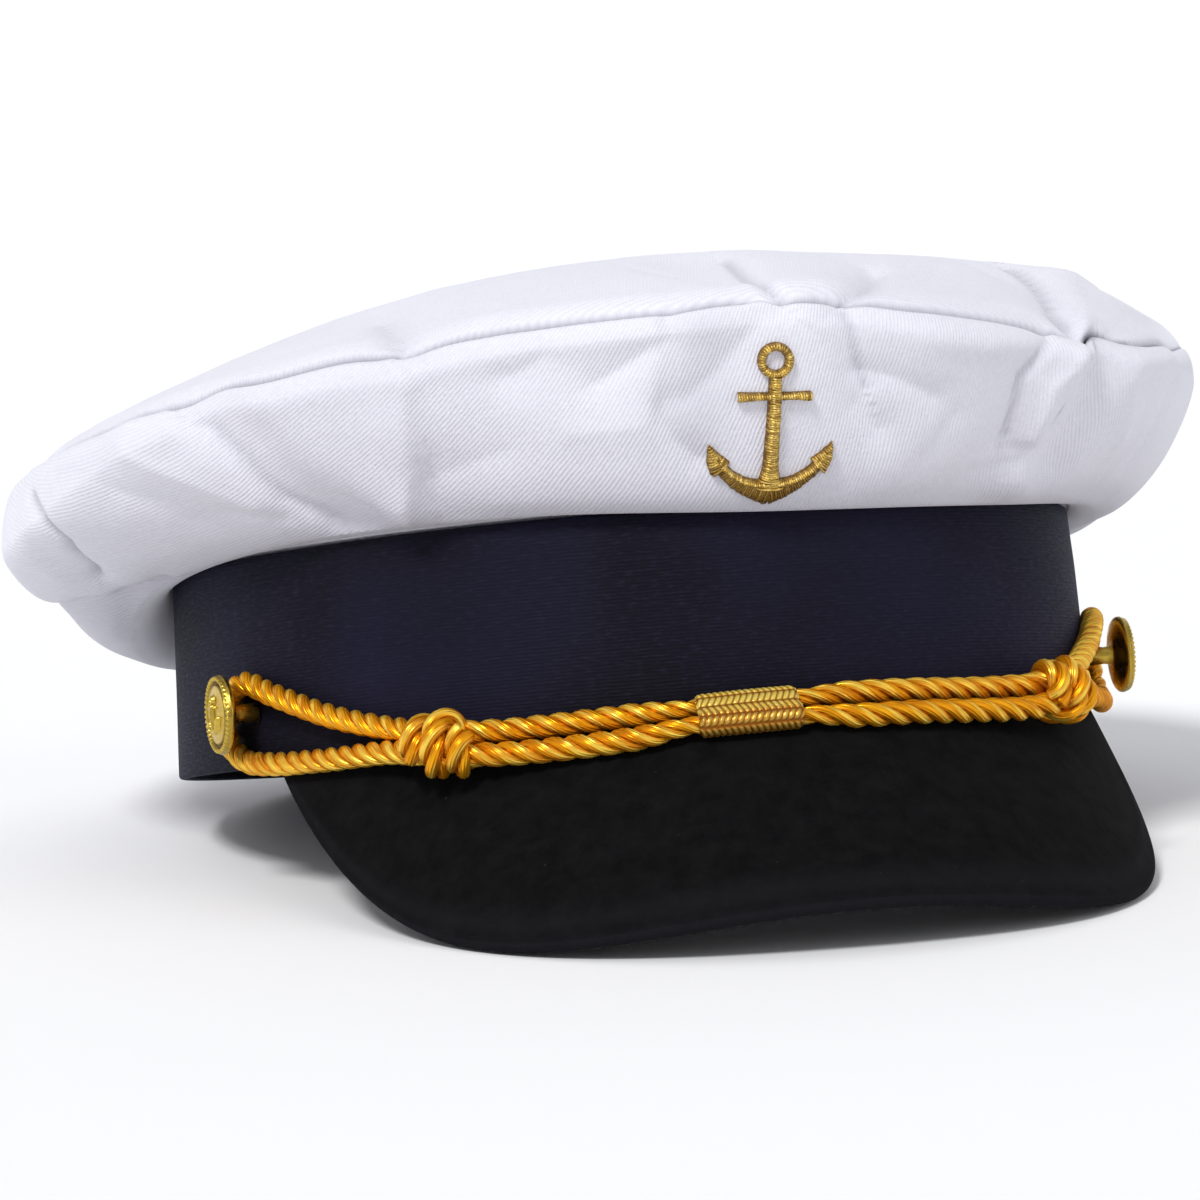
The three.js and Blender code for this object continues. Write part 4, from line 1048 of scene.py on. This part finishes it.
def peak(paint):
    share = PEAK_END * np.sin(math.pi / 2 * np.linspace(-1, 1, 181))
    angle = share * PEAK_HALF_ANGLE
    along = peak_along(share)
    reach = peak_reach(share)
    step = 0.002
    across = peak_root(share + step) - peak_root(share - step)
    spread = peak_along(share + step) * 0.5 * reach[:, None] - peak_along(share - step) * 0.5 * reach[:, None]
    normal = unit(np.cross(across + spread, along))
    normal *= np.sign(normal[:, 2:])
    half = PEAK_THICKNESS / 2
    length = np.maximum(reach - half, 0.15)

    def run(distance):
        return peak_root(share)[:, None] + along[:, None] * distance[..., None]

    away = np.linspace(0, 1, 40) * length[:, None]
    upper = run(away)
    ridge = bell(reach[:, None] - away - 7.5, 1.3) * smooth(reach, 12, 30)[:, None]
    upper += (0.22 * ridge)[..., None] * normal[:, None]
    turn = np.linspace(0, math.pi, 11)[1:-1]
    middle = run(length[:, None]) - half * normal[:, None]
    rim = middle + half * (np.cos(turn)[:, None] * normal[:, None] + np.sin(turn)[:, None] * along[:, None])
    lower = run(np.linspace(1, 0, 24) * length[:, None]) - PEAK_THICKNESS * normal[:, None]
    low = root_height(share) - GAP
    tab_top = low + TAB_HEIGHT

    def tab_out(height):
        return band_out(height) - BAND_WALL - GAP

    tab = [
        around(angle, tab_out(low) - PEAK_THICKNESS, low - PEAK_THICKNESS * 0.6),
        around(angle, tab_out(tab_top) - PEAK_THICKNESS, tab_top),
        around(angle, tab_out(tab_top), tab_top),
        around(angle, tab_out(low), low + 0.1),
    ]
    points = np.concatenate([np.stack(tab, 1), upper, rim, lower], 1)
    hidden = 60.0
    to_edge = np.full(points.shape[:2], hidden)
    to_edge[:, len(tab):len(tab) + away.shape[1]] = reach[:, None] - away
    to_edge[:, len(tab) + away.shape[1]:-lower.shape[1]] = 0
    # The felt's tone: paler in a strip about 5 mm in from the edge, and a painted highlight along the rim
    paler_strip_and_rim_highlight = 0.45 * bell(to_edge - 5, 2.6) + 0.6 * bell(to_edge, 1.2)
    points += (0.12 * lattice_noise(points, 22, 9))[..., None] * normal[:, None]
    build = Build("peak_felt")
    build.grid(points, False, True, tone=paler_strip_and_rim_highlight, caps=True)
    build.make(paint, "peak")


# Chin cord

def seat_out(angle, height, bulk):
    """How far out a round of that radius clears the band and the peak"""
    angle, height, bulk = np.broadcast_arrays(np.asarray(angle, float), height, bulk)
    clear = bulk + GAP
    share = angle / PEAK_HALF_ANGLE
    drop = peak_drop(np.clip(share, -1, 1))
    from_band = clear + band_out(height - bulk)
    from_peak = (clear - (height - root_height(share) + GAP) * np.cos(drop)) / np.sin(drop)
    return np.where(np.abs(share) < 1, np.maximum(from_band, from_peak), from_band)


def angle_of(points):
    return np.degrees(np.arctan2(points[..., 0] / BAND_HALF_WIDTH, -points[..., 1] / BAND_HALF_LENGTH))


def closed_curve(stops, steps):
    """A closed centripetal curve through the stops, with that many points between each two"""
    p0, p1, p2, p3 = (np.roll(stops, k, 0) for k in (1, 0, -1, -2))
    pairs = (p0, p1), (p1, p2), (p2, p3)
    d0, d1, d2 = (np.sqrt(np.linalg.norm(b - a, axis=-1, keepdims=True)) for a, b in pairs)
    m1 = ((p1 - p0) / d0 - (p2 - p0) / (d0 + d1) + (p2 - p1) / d1) * d1
    m2 = ((p2 - p1) / d1 - (p3 - p1) / (d1 + d2) + (p3 - p2) / d2) * d1
    t = (np.arange(steps) / steps)[:, None, None]
    curve = ((2 * t**3 - 3 * t**2 + 1) * p1 + (t**3 - 2 * t**2 + t) * m1
             + (-2 * t**3 + 3 * t**2) * p2 + (t**3 - t**2) * m2)
    return np.swapaxes(curve, 0, 1).reshape(-1, 3)


def cord_centre():
    """Even steps along the cord's loop: centres, radii and how far along they are"""
    angle, height, radius, bulk = CORD_ROWS.T
    rough = closed_curve(around(angle, seat_out(angle, height, bulk), height), CURVE_STEPS)
    stops = CURVE_STEPS * np.arange(len(radius) + 1)
    radii = np.interp(np.arange(stops[-1] + 1), stops, np.append(radius, radius[0]))
    ring = np.vstack([rough, rough[:1]])
    length = lengths_along(ring)
    at = np.linspace(0, length[-1], round(length[-1] / CORD_STEP), endpoint=False)
    centre = np.stack([np.interp(at, length, ring[:, k]) for k in range(3)], -1)
    return centre, np.interp(at, length, radii), at


def direction_of(points, closed):
    """Unit vectors along a line of points"""
    if closed:
        return unit(np.roll(points, -1, 0) - np.roll(points, 1, 0))
    return unit(np.gradient(points, axis=0))


def twist_strands(build, centre, radius, at, turns, out, closed):
    """Lays the strands round a centre line, with their own hairs lengthways"""
    along = direction_of(centre, closed)
    out = unit(out - dot(out, along)[:, None] * along)
    side = np.cross(along, out)
    sides = 10
    around_turn = 2 * math.pi * np.arange(sides) / sides
    for k in range(STRANDS):
        phase = 2 * math.pi * (k / STRANDS + turns)
        radial = np.cos(phase)[:, None] * out + np.sin(phase)[:, None] * side
        middle = centre + STRAND_REACH * radius[:, None] * radial
        second = np.cross(direction_of(middle, closed), radial)
        thick = STRAND_THICKNESS * radius[:, None, None]
        ring = middle[:, None] + thick * (np.cos(around_turn)[:, None] * radial[:, None]
                                          + 1.04 * np.sin(around_turn)[:, None] * second[:, None])
        # The tone is how far out from the cord's middle a point lies: the cord's material paints shade where
        # it is low, between the strands
        depth = np.linalg.norm(ring - centre[:, None], axis=-1) / radius[:, None]
        flat = np.zeros((len(at) + 1, sides + 1, 2))
        flat[..., 0] = np.arange(sides + 1) / sides
        flat[..., 1] = np.append(at, at[-1] + CORD_STEP)[:, None]
        if not closed:
            flat = flat[:-1]
        build.grid(ring, closed, True, flat, depth, caps=not closed)


def knot_line(angle, height):
    """A coil pulled tight: its front runs up towards the wearer's left"""
    centre = around(angle, seat_out(angle, height, KNOT_COIL["outside"]), height)
    out = outward_at(angle)
    up = np.array([0, 0, 1.0])
    along = np.cross(up, out)
    turns = KNOT_COIL["turns"]
    t = np.linspace(-turns / 2, turns / 2, round(turns * 2 * math.pi * KNOT_COIL["radius"] / CORD_STEP))
    phase = 2 * math.pi * t
    tight = KNOT_COIL["radius"] * (1 - 0.4 * smooth(np.abs(t), turns / 2 - 0.35, turns / 2))
    tight *= 1 - 0.13 * smooth(-t, 0.1, 0.6) * np.clip(np.sin(phase), 0, 1)
    shift = KNOT_COIL["pitch"] * t
    points = (centre + shift[:, None] * along + (tight * np.cos(phase))[:, None] * out
              + (tight * np.sin(phase) * 1.06)[:, None] * up)
    radial = np.cos(phase)[:, None] * out + np.sin(phase)[:, None] * up
    return points, radial


def chin_cord(paint):
    build = Build("chin_cord_strands")
    centre, radius, at = cord_centre()
    angle = angle_of(centre)
    turns = np.cumsum(CORD_STEP / np.interp(angle, TWIST_ANGLES, TWIST_LENGTHS))
    turns *= round(turns[-1]) / turns[-1]
    twist_strands(build, centre, radius, at, turns, outward_at(angle), True)
    for angle, height in KNOT_PLACES:
        points, radial = knot_line(angle, height)
        run = lengths_along(points)
        thick = np.full(len(run), KNOT_COIL["cord"])
        twist_strands(build, points, thick, run, run / KNOT_TWIST, radial, False)
    build.make(paint, "chin_cord")


def cord_slide(paint):
    """A braided sleeve round both strands: w runs round it, in rows that slant to and fro"""
    centre = cord_centre()[0]
    angles = angle_of(centre)
    half = len(CORD_ROWS) // 2
    stations = np.linspace(SLIDE_FROM, SLIDE_TO, 146)
    rough_front = np.abs(angles) < 25
    upper_rows = np.arange(len(centre)) < len(centre) * half / len(CORD_ROWS)

    def strand(rows):
        chosen = centre[rows & rough_front]
        order = np.argsort(angle_of(chosen))
        chosen = chosen[order]
        return np.stack([np.interp(stations, angle_of(chosen), chosen[:, k]) for k in range(3)], -1)

    upper, lower = strand(upper_rows), strand(~upper_rows)
    up = unit(upper - lower)
    out = outward_at(stations)
    out = unit(out - dot(out, up)[:, None] * up)
    span = np.linalg.norm(upper - lower, axis=1).mean()
    arc = math.pi * SLIDE_BULK
    rows = 2 * round((arc + span) / BRAID["row"])
    count = rows * 8
    w = np.arange(count) / count * 2 * (arc + span)
    along = np.linspace(0, 1, len(stations)) * lengths_along(upper)[-1]
    cell = w / (2 * (arc + span)) * rows
    row, inside = np.floor(cell), cell - np.floor(cell)
    slant = np.where(row % 2 == 0, 1, -1) * BRAID["slant"]
    phase = along[:, None] / BRAID["stitch"] + slant * inside
    knit = np.abs(np.cos(math.pi * phase)) ** 0.8 * np.sqrt(np.clip(1 - (2 * inside - 1) ** 2, 0, 1))
    ends = np.minimum(along, along[-1] - along)[:, None]
    bulk = SLIDE_BULK - 0.1 + BRAID["depth"] * (knit - 0.4) - 0.5 * (1 - smooth(ends, 0, 0.8))

    def section(bulk):
        points = np.zeros((len(stations), count, 3))
        for start, base, sign in ((0, upper, 1), (arc + span, lower, -1)):
            turn = np.clip((w - start) / arc, 0, 1) * math.pi
            inside_arc = (w >= start) & (w < start + arc)
            direction = sign * (np.cos(turn)[:, None] * out[:, None] + np.sin(turn)[:, None] * up[:, None])
            points = np.where(inside_arc[:, None], base[:, None] + bulk[..., None] * direction, points)
            across = np.clip((w - start - arc) / span, 0, 1)[:, None]
            other = lower if sign == 1 else upper
            line = base[:, None] * (1 - across) + other[:, None] * across
            line = line - sign * bulk[..., None] * out[:, None]
            inside_line = (w >= start + arc) & (w < start + arc + span)
            points = np.where(inside_line[:, None], line, points)
        return points

    outer = section(bulk)
    inner = section(np.full_like(bulk, SLIDE_BULK - SLIDE_WALL))[::-12]
    raised = dot(outer - (upper + lower)[:, None] / 2, up[:, None]) / (span / 2 + SLIDE_BULK)
    # Painted shade through the tone: low between the stitches and towards the slide's lower side, and low on
    # the inside
    knit = knit * (0.4 + 0.6 * smooth(raised, -0.6, 0.1))
    tone = np.concatenate([knit, np.full((len(inner), count), 0.1)])
    build = Build("cord_slide_braid")
    build.grid(np.concatenate([outer, inner]), True, True, tone=tone)
    build.make(paint, "cord_slide")


# Buttons

def segment_distance(x, y, start, end):
    run = np.subtract(end, start)
    t = np.clip(((x - start[0]) * run[0] + (y - start[1]) * run[1]) / (run @ run), 0, 1)
    return np.hypot(x - start[0] - t * run[0], y - start[1] - t * run[1])


def button_relief(x, y):
    """A raised anchor on the button's face: 1 on its limbs, 0 beside them"""
    shapes = [
        segment_distance(x, y, (0, 2), (0, -3)) - 0.3,
        segment_distance(x, y, (-1.5, 1.3), (1.5, 1.3)) - 0.24,
        np.abs(np.hypot(x, y - 2.7) - 0.65) - 0.22,
        np.where(y < -0.9, np.abs(np.hypot(x, y + 0.6) - 2.5) - 0.34, 9),
        segment_distance(x, y, (-2.9, -0.7), (-1.9, -1.5)) - 0.28,
        segment_distance(x, y, (2.9, -0.7), (1.9, -1.5)) - 0.28,
    ]
    return smooth(-np.minimum.reduce(shapes), -0.18, 0.2)


def button(paint, name, angle):
    foot = around(angle, GAP + band_out(BUTTON_HEIGHT - SHANK_RADIUS), BUTTON_HEIGHT)
    lean = Matrix.Rotation(math.radians(math.copysign(BUTTON_LEAN, angle)), 3, "Z")
    out = np.array(lean @ Vector(outward_at(angle)))
    up = np.array([0, 0, 1.0])
    side = np.cross(up, out)
    turn = 2 * math.pi * np.arange(184) / 184
    radii = np.concatenate([np.linspace(0, FACE_RADIUS, 46), np.linspace(5.3, BUTTON_RADIUS, 26)])
    x, y = radii[:, None] * np.cos(turn), radii[:, None] * np.sin(turn)
    back = BUTTON_STANDOFF
    face = back + 1.5 + 0.75 * (1 - (radii / 5.4) ** 2).clip(0)
    face = face - 0.5 * bell(radii - GROOVE_RADIUS, 0.28) + 0.22 * bell(radii - FACE_RADIUS, 0.2)
    bead_turn = 2 * math.pi / BEADS["count"]
    bead_x = ((turn + bead_turn / 2) % bead_turn - bead_turn / 2) * BEADS["ring"]
    bead = BEADS["radius"] ** 2 - bead_x**2 - (radii[:, None] - BEADS["ring"]) ** 2
    bead = np.clip(bead, 0, None) ** 0.5
    within = radii[:, None] < FACE_RADIUS - 0.2
    relief = button_relief(x, y) * within
    height = face[:, None] + RELIEF_HEIGHT * relief + 0.9 * bead
    height = height - 0.5 * smooth(radii, 6.9, BUTTON_RADIUS)[:, None]
    tone = 0.35 + 0.6 * relief + 0.9 * bead + 0.2 * within
    tone = tone - 0.35 * bell(radii[:, None] - GROOVE_RADIUS, 0.3)
    rim = np.array([
        (BUTTON_RADIUS, back + 0.75),
        (BUTTON_RADIUS - 0.1, back + 0.35),
        (BUTTON_RADIUS - 0.5, back),
        (BUTTON_RADIUS - 1.4, back - 0.15),
        (3.2, back - 0.5),
        (SHANK_RADIUS + 0.25, back - 0.7),
        (SHANK_RADIUS, back - 1.2),
        (SHANK_RADIUS * 0.9, back - 2.5),
        (SHANK_RADIUS, 0.2),
        (SHANK_RADIUS - 0.2, 0),
        (0, 0),
    ])
    rim_radius, rim_height = (np.broadcast_to(column[:, None], (len(rim), len(turn))) for column in rim.T)
    radius = np.concatenate([np.broadcast_to(radii[:, None], height.shape), rim_radius])
    height = np.concatenate([height, rim_height])
    tone = np.concatenate([tone, np.full(rim_radius.shape, 0.55)])
    points = (foot + (radius * np.cos(turn))[..., None] * side + (radius * np.sin(turn))[..., None] * up
              + height[..., None] * out)
    build = Build(name + "_brass")
    build.grid(points, False, True, tone=tone)
    build.make(paint, name)


# Anchor badge: each limb is a padded ridge under satin stitches laid across it

def limb(stops, widths, height, skew=0.0, bright=1.0):
    """Even steps along a limb: middles, directions and half widths. Its ridge lies at skew across it."""
    stops, widths = np.array(stops, float), np.array(widths, float)
    run = lengths_along(stops)
    at = np.linspace(0, run[-1], max(3, round(run[-1] / STITCH_EVERY)))
    middle = np.stack([np.interp(at, run, stops[:, k]) for k in (0, 1)], -1)
    along = unit(np.gradient(middle, axis=0))
    across = np.stack([-along[:, 1], along[:, 0]], -1)
    half = np.interp(at, run, widths) * LIMB_WIDTH
    return dict(middle=middle, along=along, across=across, half=half, height=height, skew=skew, bright=bright)


def anchor_limbs():
    """Both sides' keel, painted in shade, the ridge on it, painted as a highlight, barb and half of the
    stock, then the shank and the ring
    """
    ring_turn = np.linspace(0, 2 * math.pi, 40)
    ring = np.stack([2.35 * np.sin(ring_turn), -2.35 * np.cos(ring_turn)], -1)
    limbs = []
    for side in (-1, 1):
        keel = [(0, 23.9), (2.4, 23.3), (4.6, 22.5), (6.6, 21.3), (8.3, 19.9), (9.6, 18.3), (10.4, 16.6)]
        keel = [(side * x, y) for x, y in keel]
        # bright scales the stitches' tone: 0.5 paints shade on the keel's lower face and 1.15 paints a
        # highlight on its ridge
        limbs.append(limb(keel, [2.15, 1.75, 1.4, 1.15, 0.95, 0.8, 0.6], 0.8, -0.5 * side, 0.5))
        ridge = [(0, 22), (2.6, 21.9), (5, 21.2), (7.2, 19.9), (8.9, 18.3), (10, 16.6)]
        limbs.append(limb([(side * x, y) for x, y in ridge], [0.5, 0.5, 0.5, 0.5, 0.5, 0.45], 1.5, 0, 1.15))
        barb = [(9.2, 18.9), (10.2, 17.4), (11.3, 14.6)]
        limbs.append(limb([(side * x, y) for x, y in barb], [1.75, 1.35, 0.1], 1.1, 0, 0.9))
        limbs.append(limb([(side * 0.6, 6.1), (side * 4, 6.1), (side * 6.2, 6.15)], [0.58, 0.62, 0.75], 1.1))
    limbs.append(limb([(0, 2.9), (0, 12), (0, 19), (0, 21), (0, 22.6)], [0.95, 1.1, 1.3, 1.7, 2.6], 1.5))
    limbs.append(limb(ring, np.full(40, 0.64), 1.1))
    return limbs


def on_crown(flat, lift):
    """Lays a flat drawing on the front of the crown, lift millimetres off the cloth"""
    per_degree = np.linalg.norm(bare_wall(ANCHOR_ANGLE + 1, 0.5) - bare_wall(ANCHOR_ANGLE, 0.5))
    angle = ANCHOR_ANGLE + flat[..., 0] / per_degree
    share = 1 - (ANCHOR_BELOW_SEAM + flat[..., 1]) / wall_length(angle)
    normal = normals_of(bare_wall, angle, share, 0.02)
    return side_cloth(angle, share)[0] + (ANCHOR_LIFT + lift)[..., None] * normal


def ridge_over(w, skew):
    """A rounded ridge across a limb: 1 at skew, 0 at both edges"""
    reach = np.where(w > skew, 1 - skew, 1 + skew)
    return np.sqrt(np.clip(1 - ((w - skew) / reach) ** 2, 0, 1))


def anchor_badge(paint):
    build = Build("anchor_stitches")
    random = np.random.default_rng(7)
    w = np.linspace(-1, 1, 11)
    turn = 2 * math.pi * np.arange(5) / 5
    for part in anchor_limbs():
        middle, along, across, half = (part[k] for k in ("middle", "along", "across", "half"))
        ridge = ridge_over(w, part["skew"])
        rise = part["height"] * np.minimum(1, half / 0.6)[:, None] * ridge
        flat = middle[:, None] + (half[:, None] * w)[..., None] * across[:, None]
        top = on_crown(middle[:, None] + 1.06 * (flat - middle[:, None]), rise * 0.85)
        base = on_crown(flat[:, ::-5], np.full(flat[:, ::-5].shape[:2], -0.5))
        build.grid(np.concatenate([top, base], 1), False, True, tone=0.05, caps=True)
        count = len(middle)
        tilt = random.normal(0, 0.07, count)
        wide = random.normal(1.0, 0.05, count)
        lift = random.normal(0, 0.06, count)
        shade = part["bright"] * np.clip(random.normal(0.72, 0.25, count), 0.15, 1.1)
        for k in range(count):
            line = middle[k] + (half[k] * wide[k] * w)[:, None] * (across[k] + tilt[k] * along[k])
            tube = line[:, None] + STITCH_RADIUS * np.cos(turn)[:, None] * along[k]
            height = (rise[k] + lift[k])[:, None] + STITCH_RADIUS * np.sin(turn)
            # Painted shade: each stitch darker towards its ends, down the limb's rounded sides
            tone = shade[k] * (0.35 + 0.65 * ridge)[:, None] + 0 * turn
            build.grid(on_crown(tube, height), False, True, tone=tone, caps=True)
    build.make(paint, "anchor_badge")


# Room: floor, light and camera

PHOTO_SIZE = 1200
PIXELS_PER_MM = 5.14
CAMERA_AWAY = 850
CAMERA_AZIMUTH = -15.54
CAMERA_ELEVATION = -1
CAMERA_ROLL = 4.34
ORIGIN_PIXEL = (630, 746)
SENSOR = 36


def photo_camera():
    """Stands where the photograph was taken from, and looks at the middle of its frame"""
    az, el, roll = (math.radians(v) for v in (CAMERA_AZIMUTH, CAMERA_ELEVATION, CAMERA_ROLL))
    flat_right = np.array([math.cos(az), math.sin(az), 0])
    back = np.array([math.sin(az) * math.cos(el), -math.cos(az) * math.cos(el), math.sin(el)])
    flat_up = np.array([-math.sin(el) * math.sin(az), math.sin(el) * math.cos(az), math.cos(el)])
    right = flat_right * math.cos(roll) - flat_up * math.sin(roll)
    up = flat_right * math.sin(roll) + flat_up * math.cos(roll)
    focal = PIXELS_PER_MM * CAMERA_AWAY
    aside = (PHOTO_SIZE / 2 - ORIGIN_PIXEL[0]) / focal
    above = (ORIGIN_PIXEL[1] - PHOTO_SIZE / 2) / focal
    view_back = unit(back - aside * right - above * up)
    view_up = unit(up - dot(up, view_back) * view_back)
    axes = [turned(v) for v in (np.cross(view_up, view_back), view_up, view_back)]
    data = bpy.data.cameras.new("photo_camera")
    data.sensor_width = SENSOR
    data.lens = focal * SENSOR / PHOTO_SIZE
    data.clip_end = 100
    camera = shown("photo_camera", data)
    place = to_row(back * CAMERA_AWAY)
    camera.matrix_world = Matrix([(*(a[k] for a in axes), place[k]) for k in range(3)] + [(0, 0, 0, 1)])
    bpy.context.scene.camera = camera


def backdrop():
    """A pale floor that rises in a wide curve far behind the cap, in metres"""
    half, near, far, curve, high = 14, -12, 3, 4, 9
    turn = np.linspace(0, math.pi / 2, 25)
    profile = [(near, 0)] + [(far + curve * math.sin(t), curve - curve * math.cos(t)) for t in turn]
    profile.append((far + curve, high))
    points = [(x, y, z) for y, z in profile for x in (-half, half)]
    faces = [(2 * k, 2 * k + 1, 2 * k + 3, 2 * k + 2) for k in range(len(profile) - 1)]
    mesh = bpy.data.meshes.new("floor")
    mesh.from_pydata(points, [], faces)
    mesh.shade_smooth()
    floor = shown("floor", mesh)
    paint = Paint("pale_floor", Roughness=0.9, Specular_IOR_Level=0.0)
    paint.colour(paint.mix(paint.noise(paint.place(), 3.0), (0.925, 0.925, 0.93, 1), (0.94, 0.94, 0.945, 1)))
    mesh.materials.append(paint.material)


# A row for each soft lamp far away: name, azimuth from the front towards the wearer's left, elevation,
# strength, and how wide it looks in degrees
LAMPS = [("key", -40, 46, 2.05, 14), ("fill", 45, 25, 0.38, 50)]


def studio():
    backdrop()
    world = bpy.data.worlds.new("studio")
    world.use_nodes = True
    sky = world.node_tree.nodes["Background"].inputs
    sky["Color"].default_value = (0.98, 0.99, 1.03, 1)
    sky["Strength"].default_value = 0.45
    bpy.context.scene.world = world
    for name, azimuth, elevation, strength, softness in LAMPS:
        light = bpy.data.lights.new(name, "SUN")
        light.energy = strength
        light.angle = math.radians(softness)
        lamp = shown(name, light)
        a, e = math.radians(azimuth), math.radians(elevation)
        lamp.location = 3 * math.sin(a) * math.cos(e), -3 * math.cos(a) * math.cos(e), 3 * math.sin(e)
        lamp.rotation_euler = lamp.location.to_track_quat("Z", "Y").to_euler()
    bpy.context.scene.view_settings.view_transform = "Standard"


photo_camera()
studio()
twill = twill_paint()
brass = brass_paint()
crown_side(twill)
crown_top(twill)
band(navy_paint())
peak(felt_paint())
chin_cord(cord_paint())
cord_slide(braid_paint())
button(brass, "button_left", BUTTON_ANGLE)
button(brass, "button_right", -BUTTON_ANGLE)
anchor_badge(thread_paint())
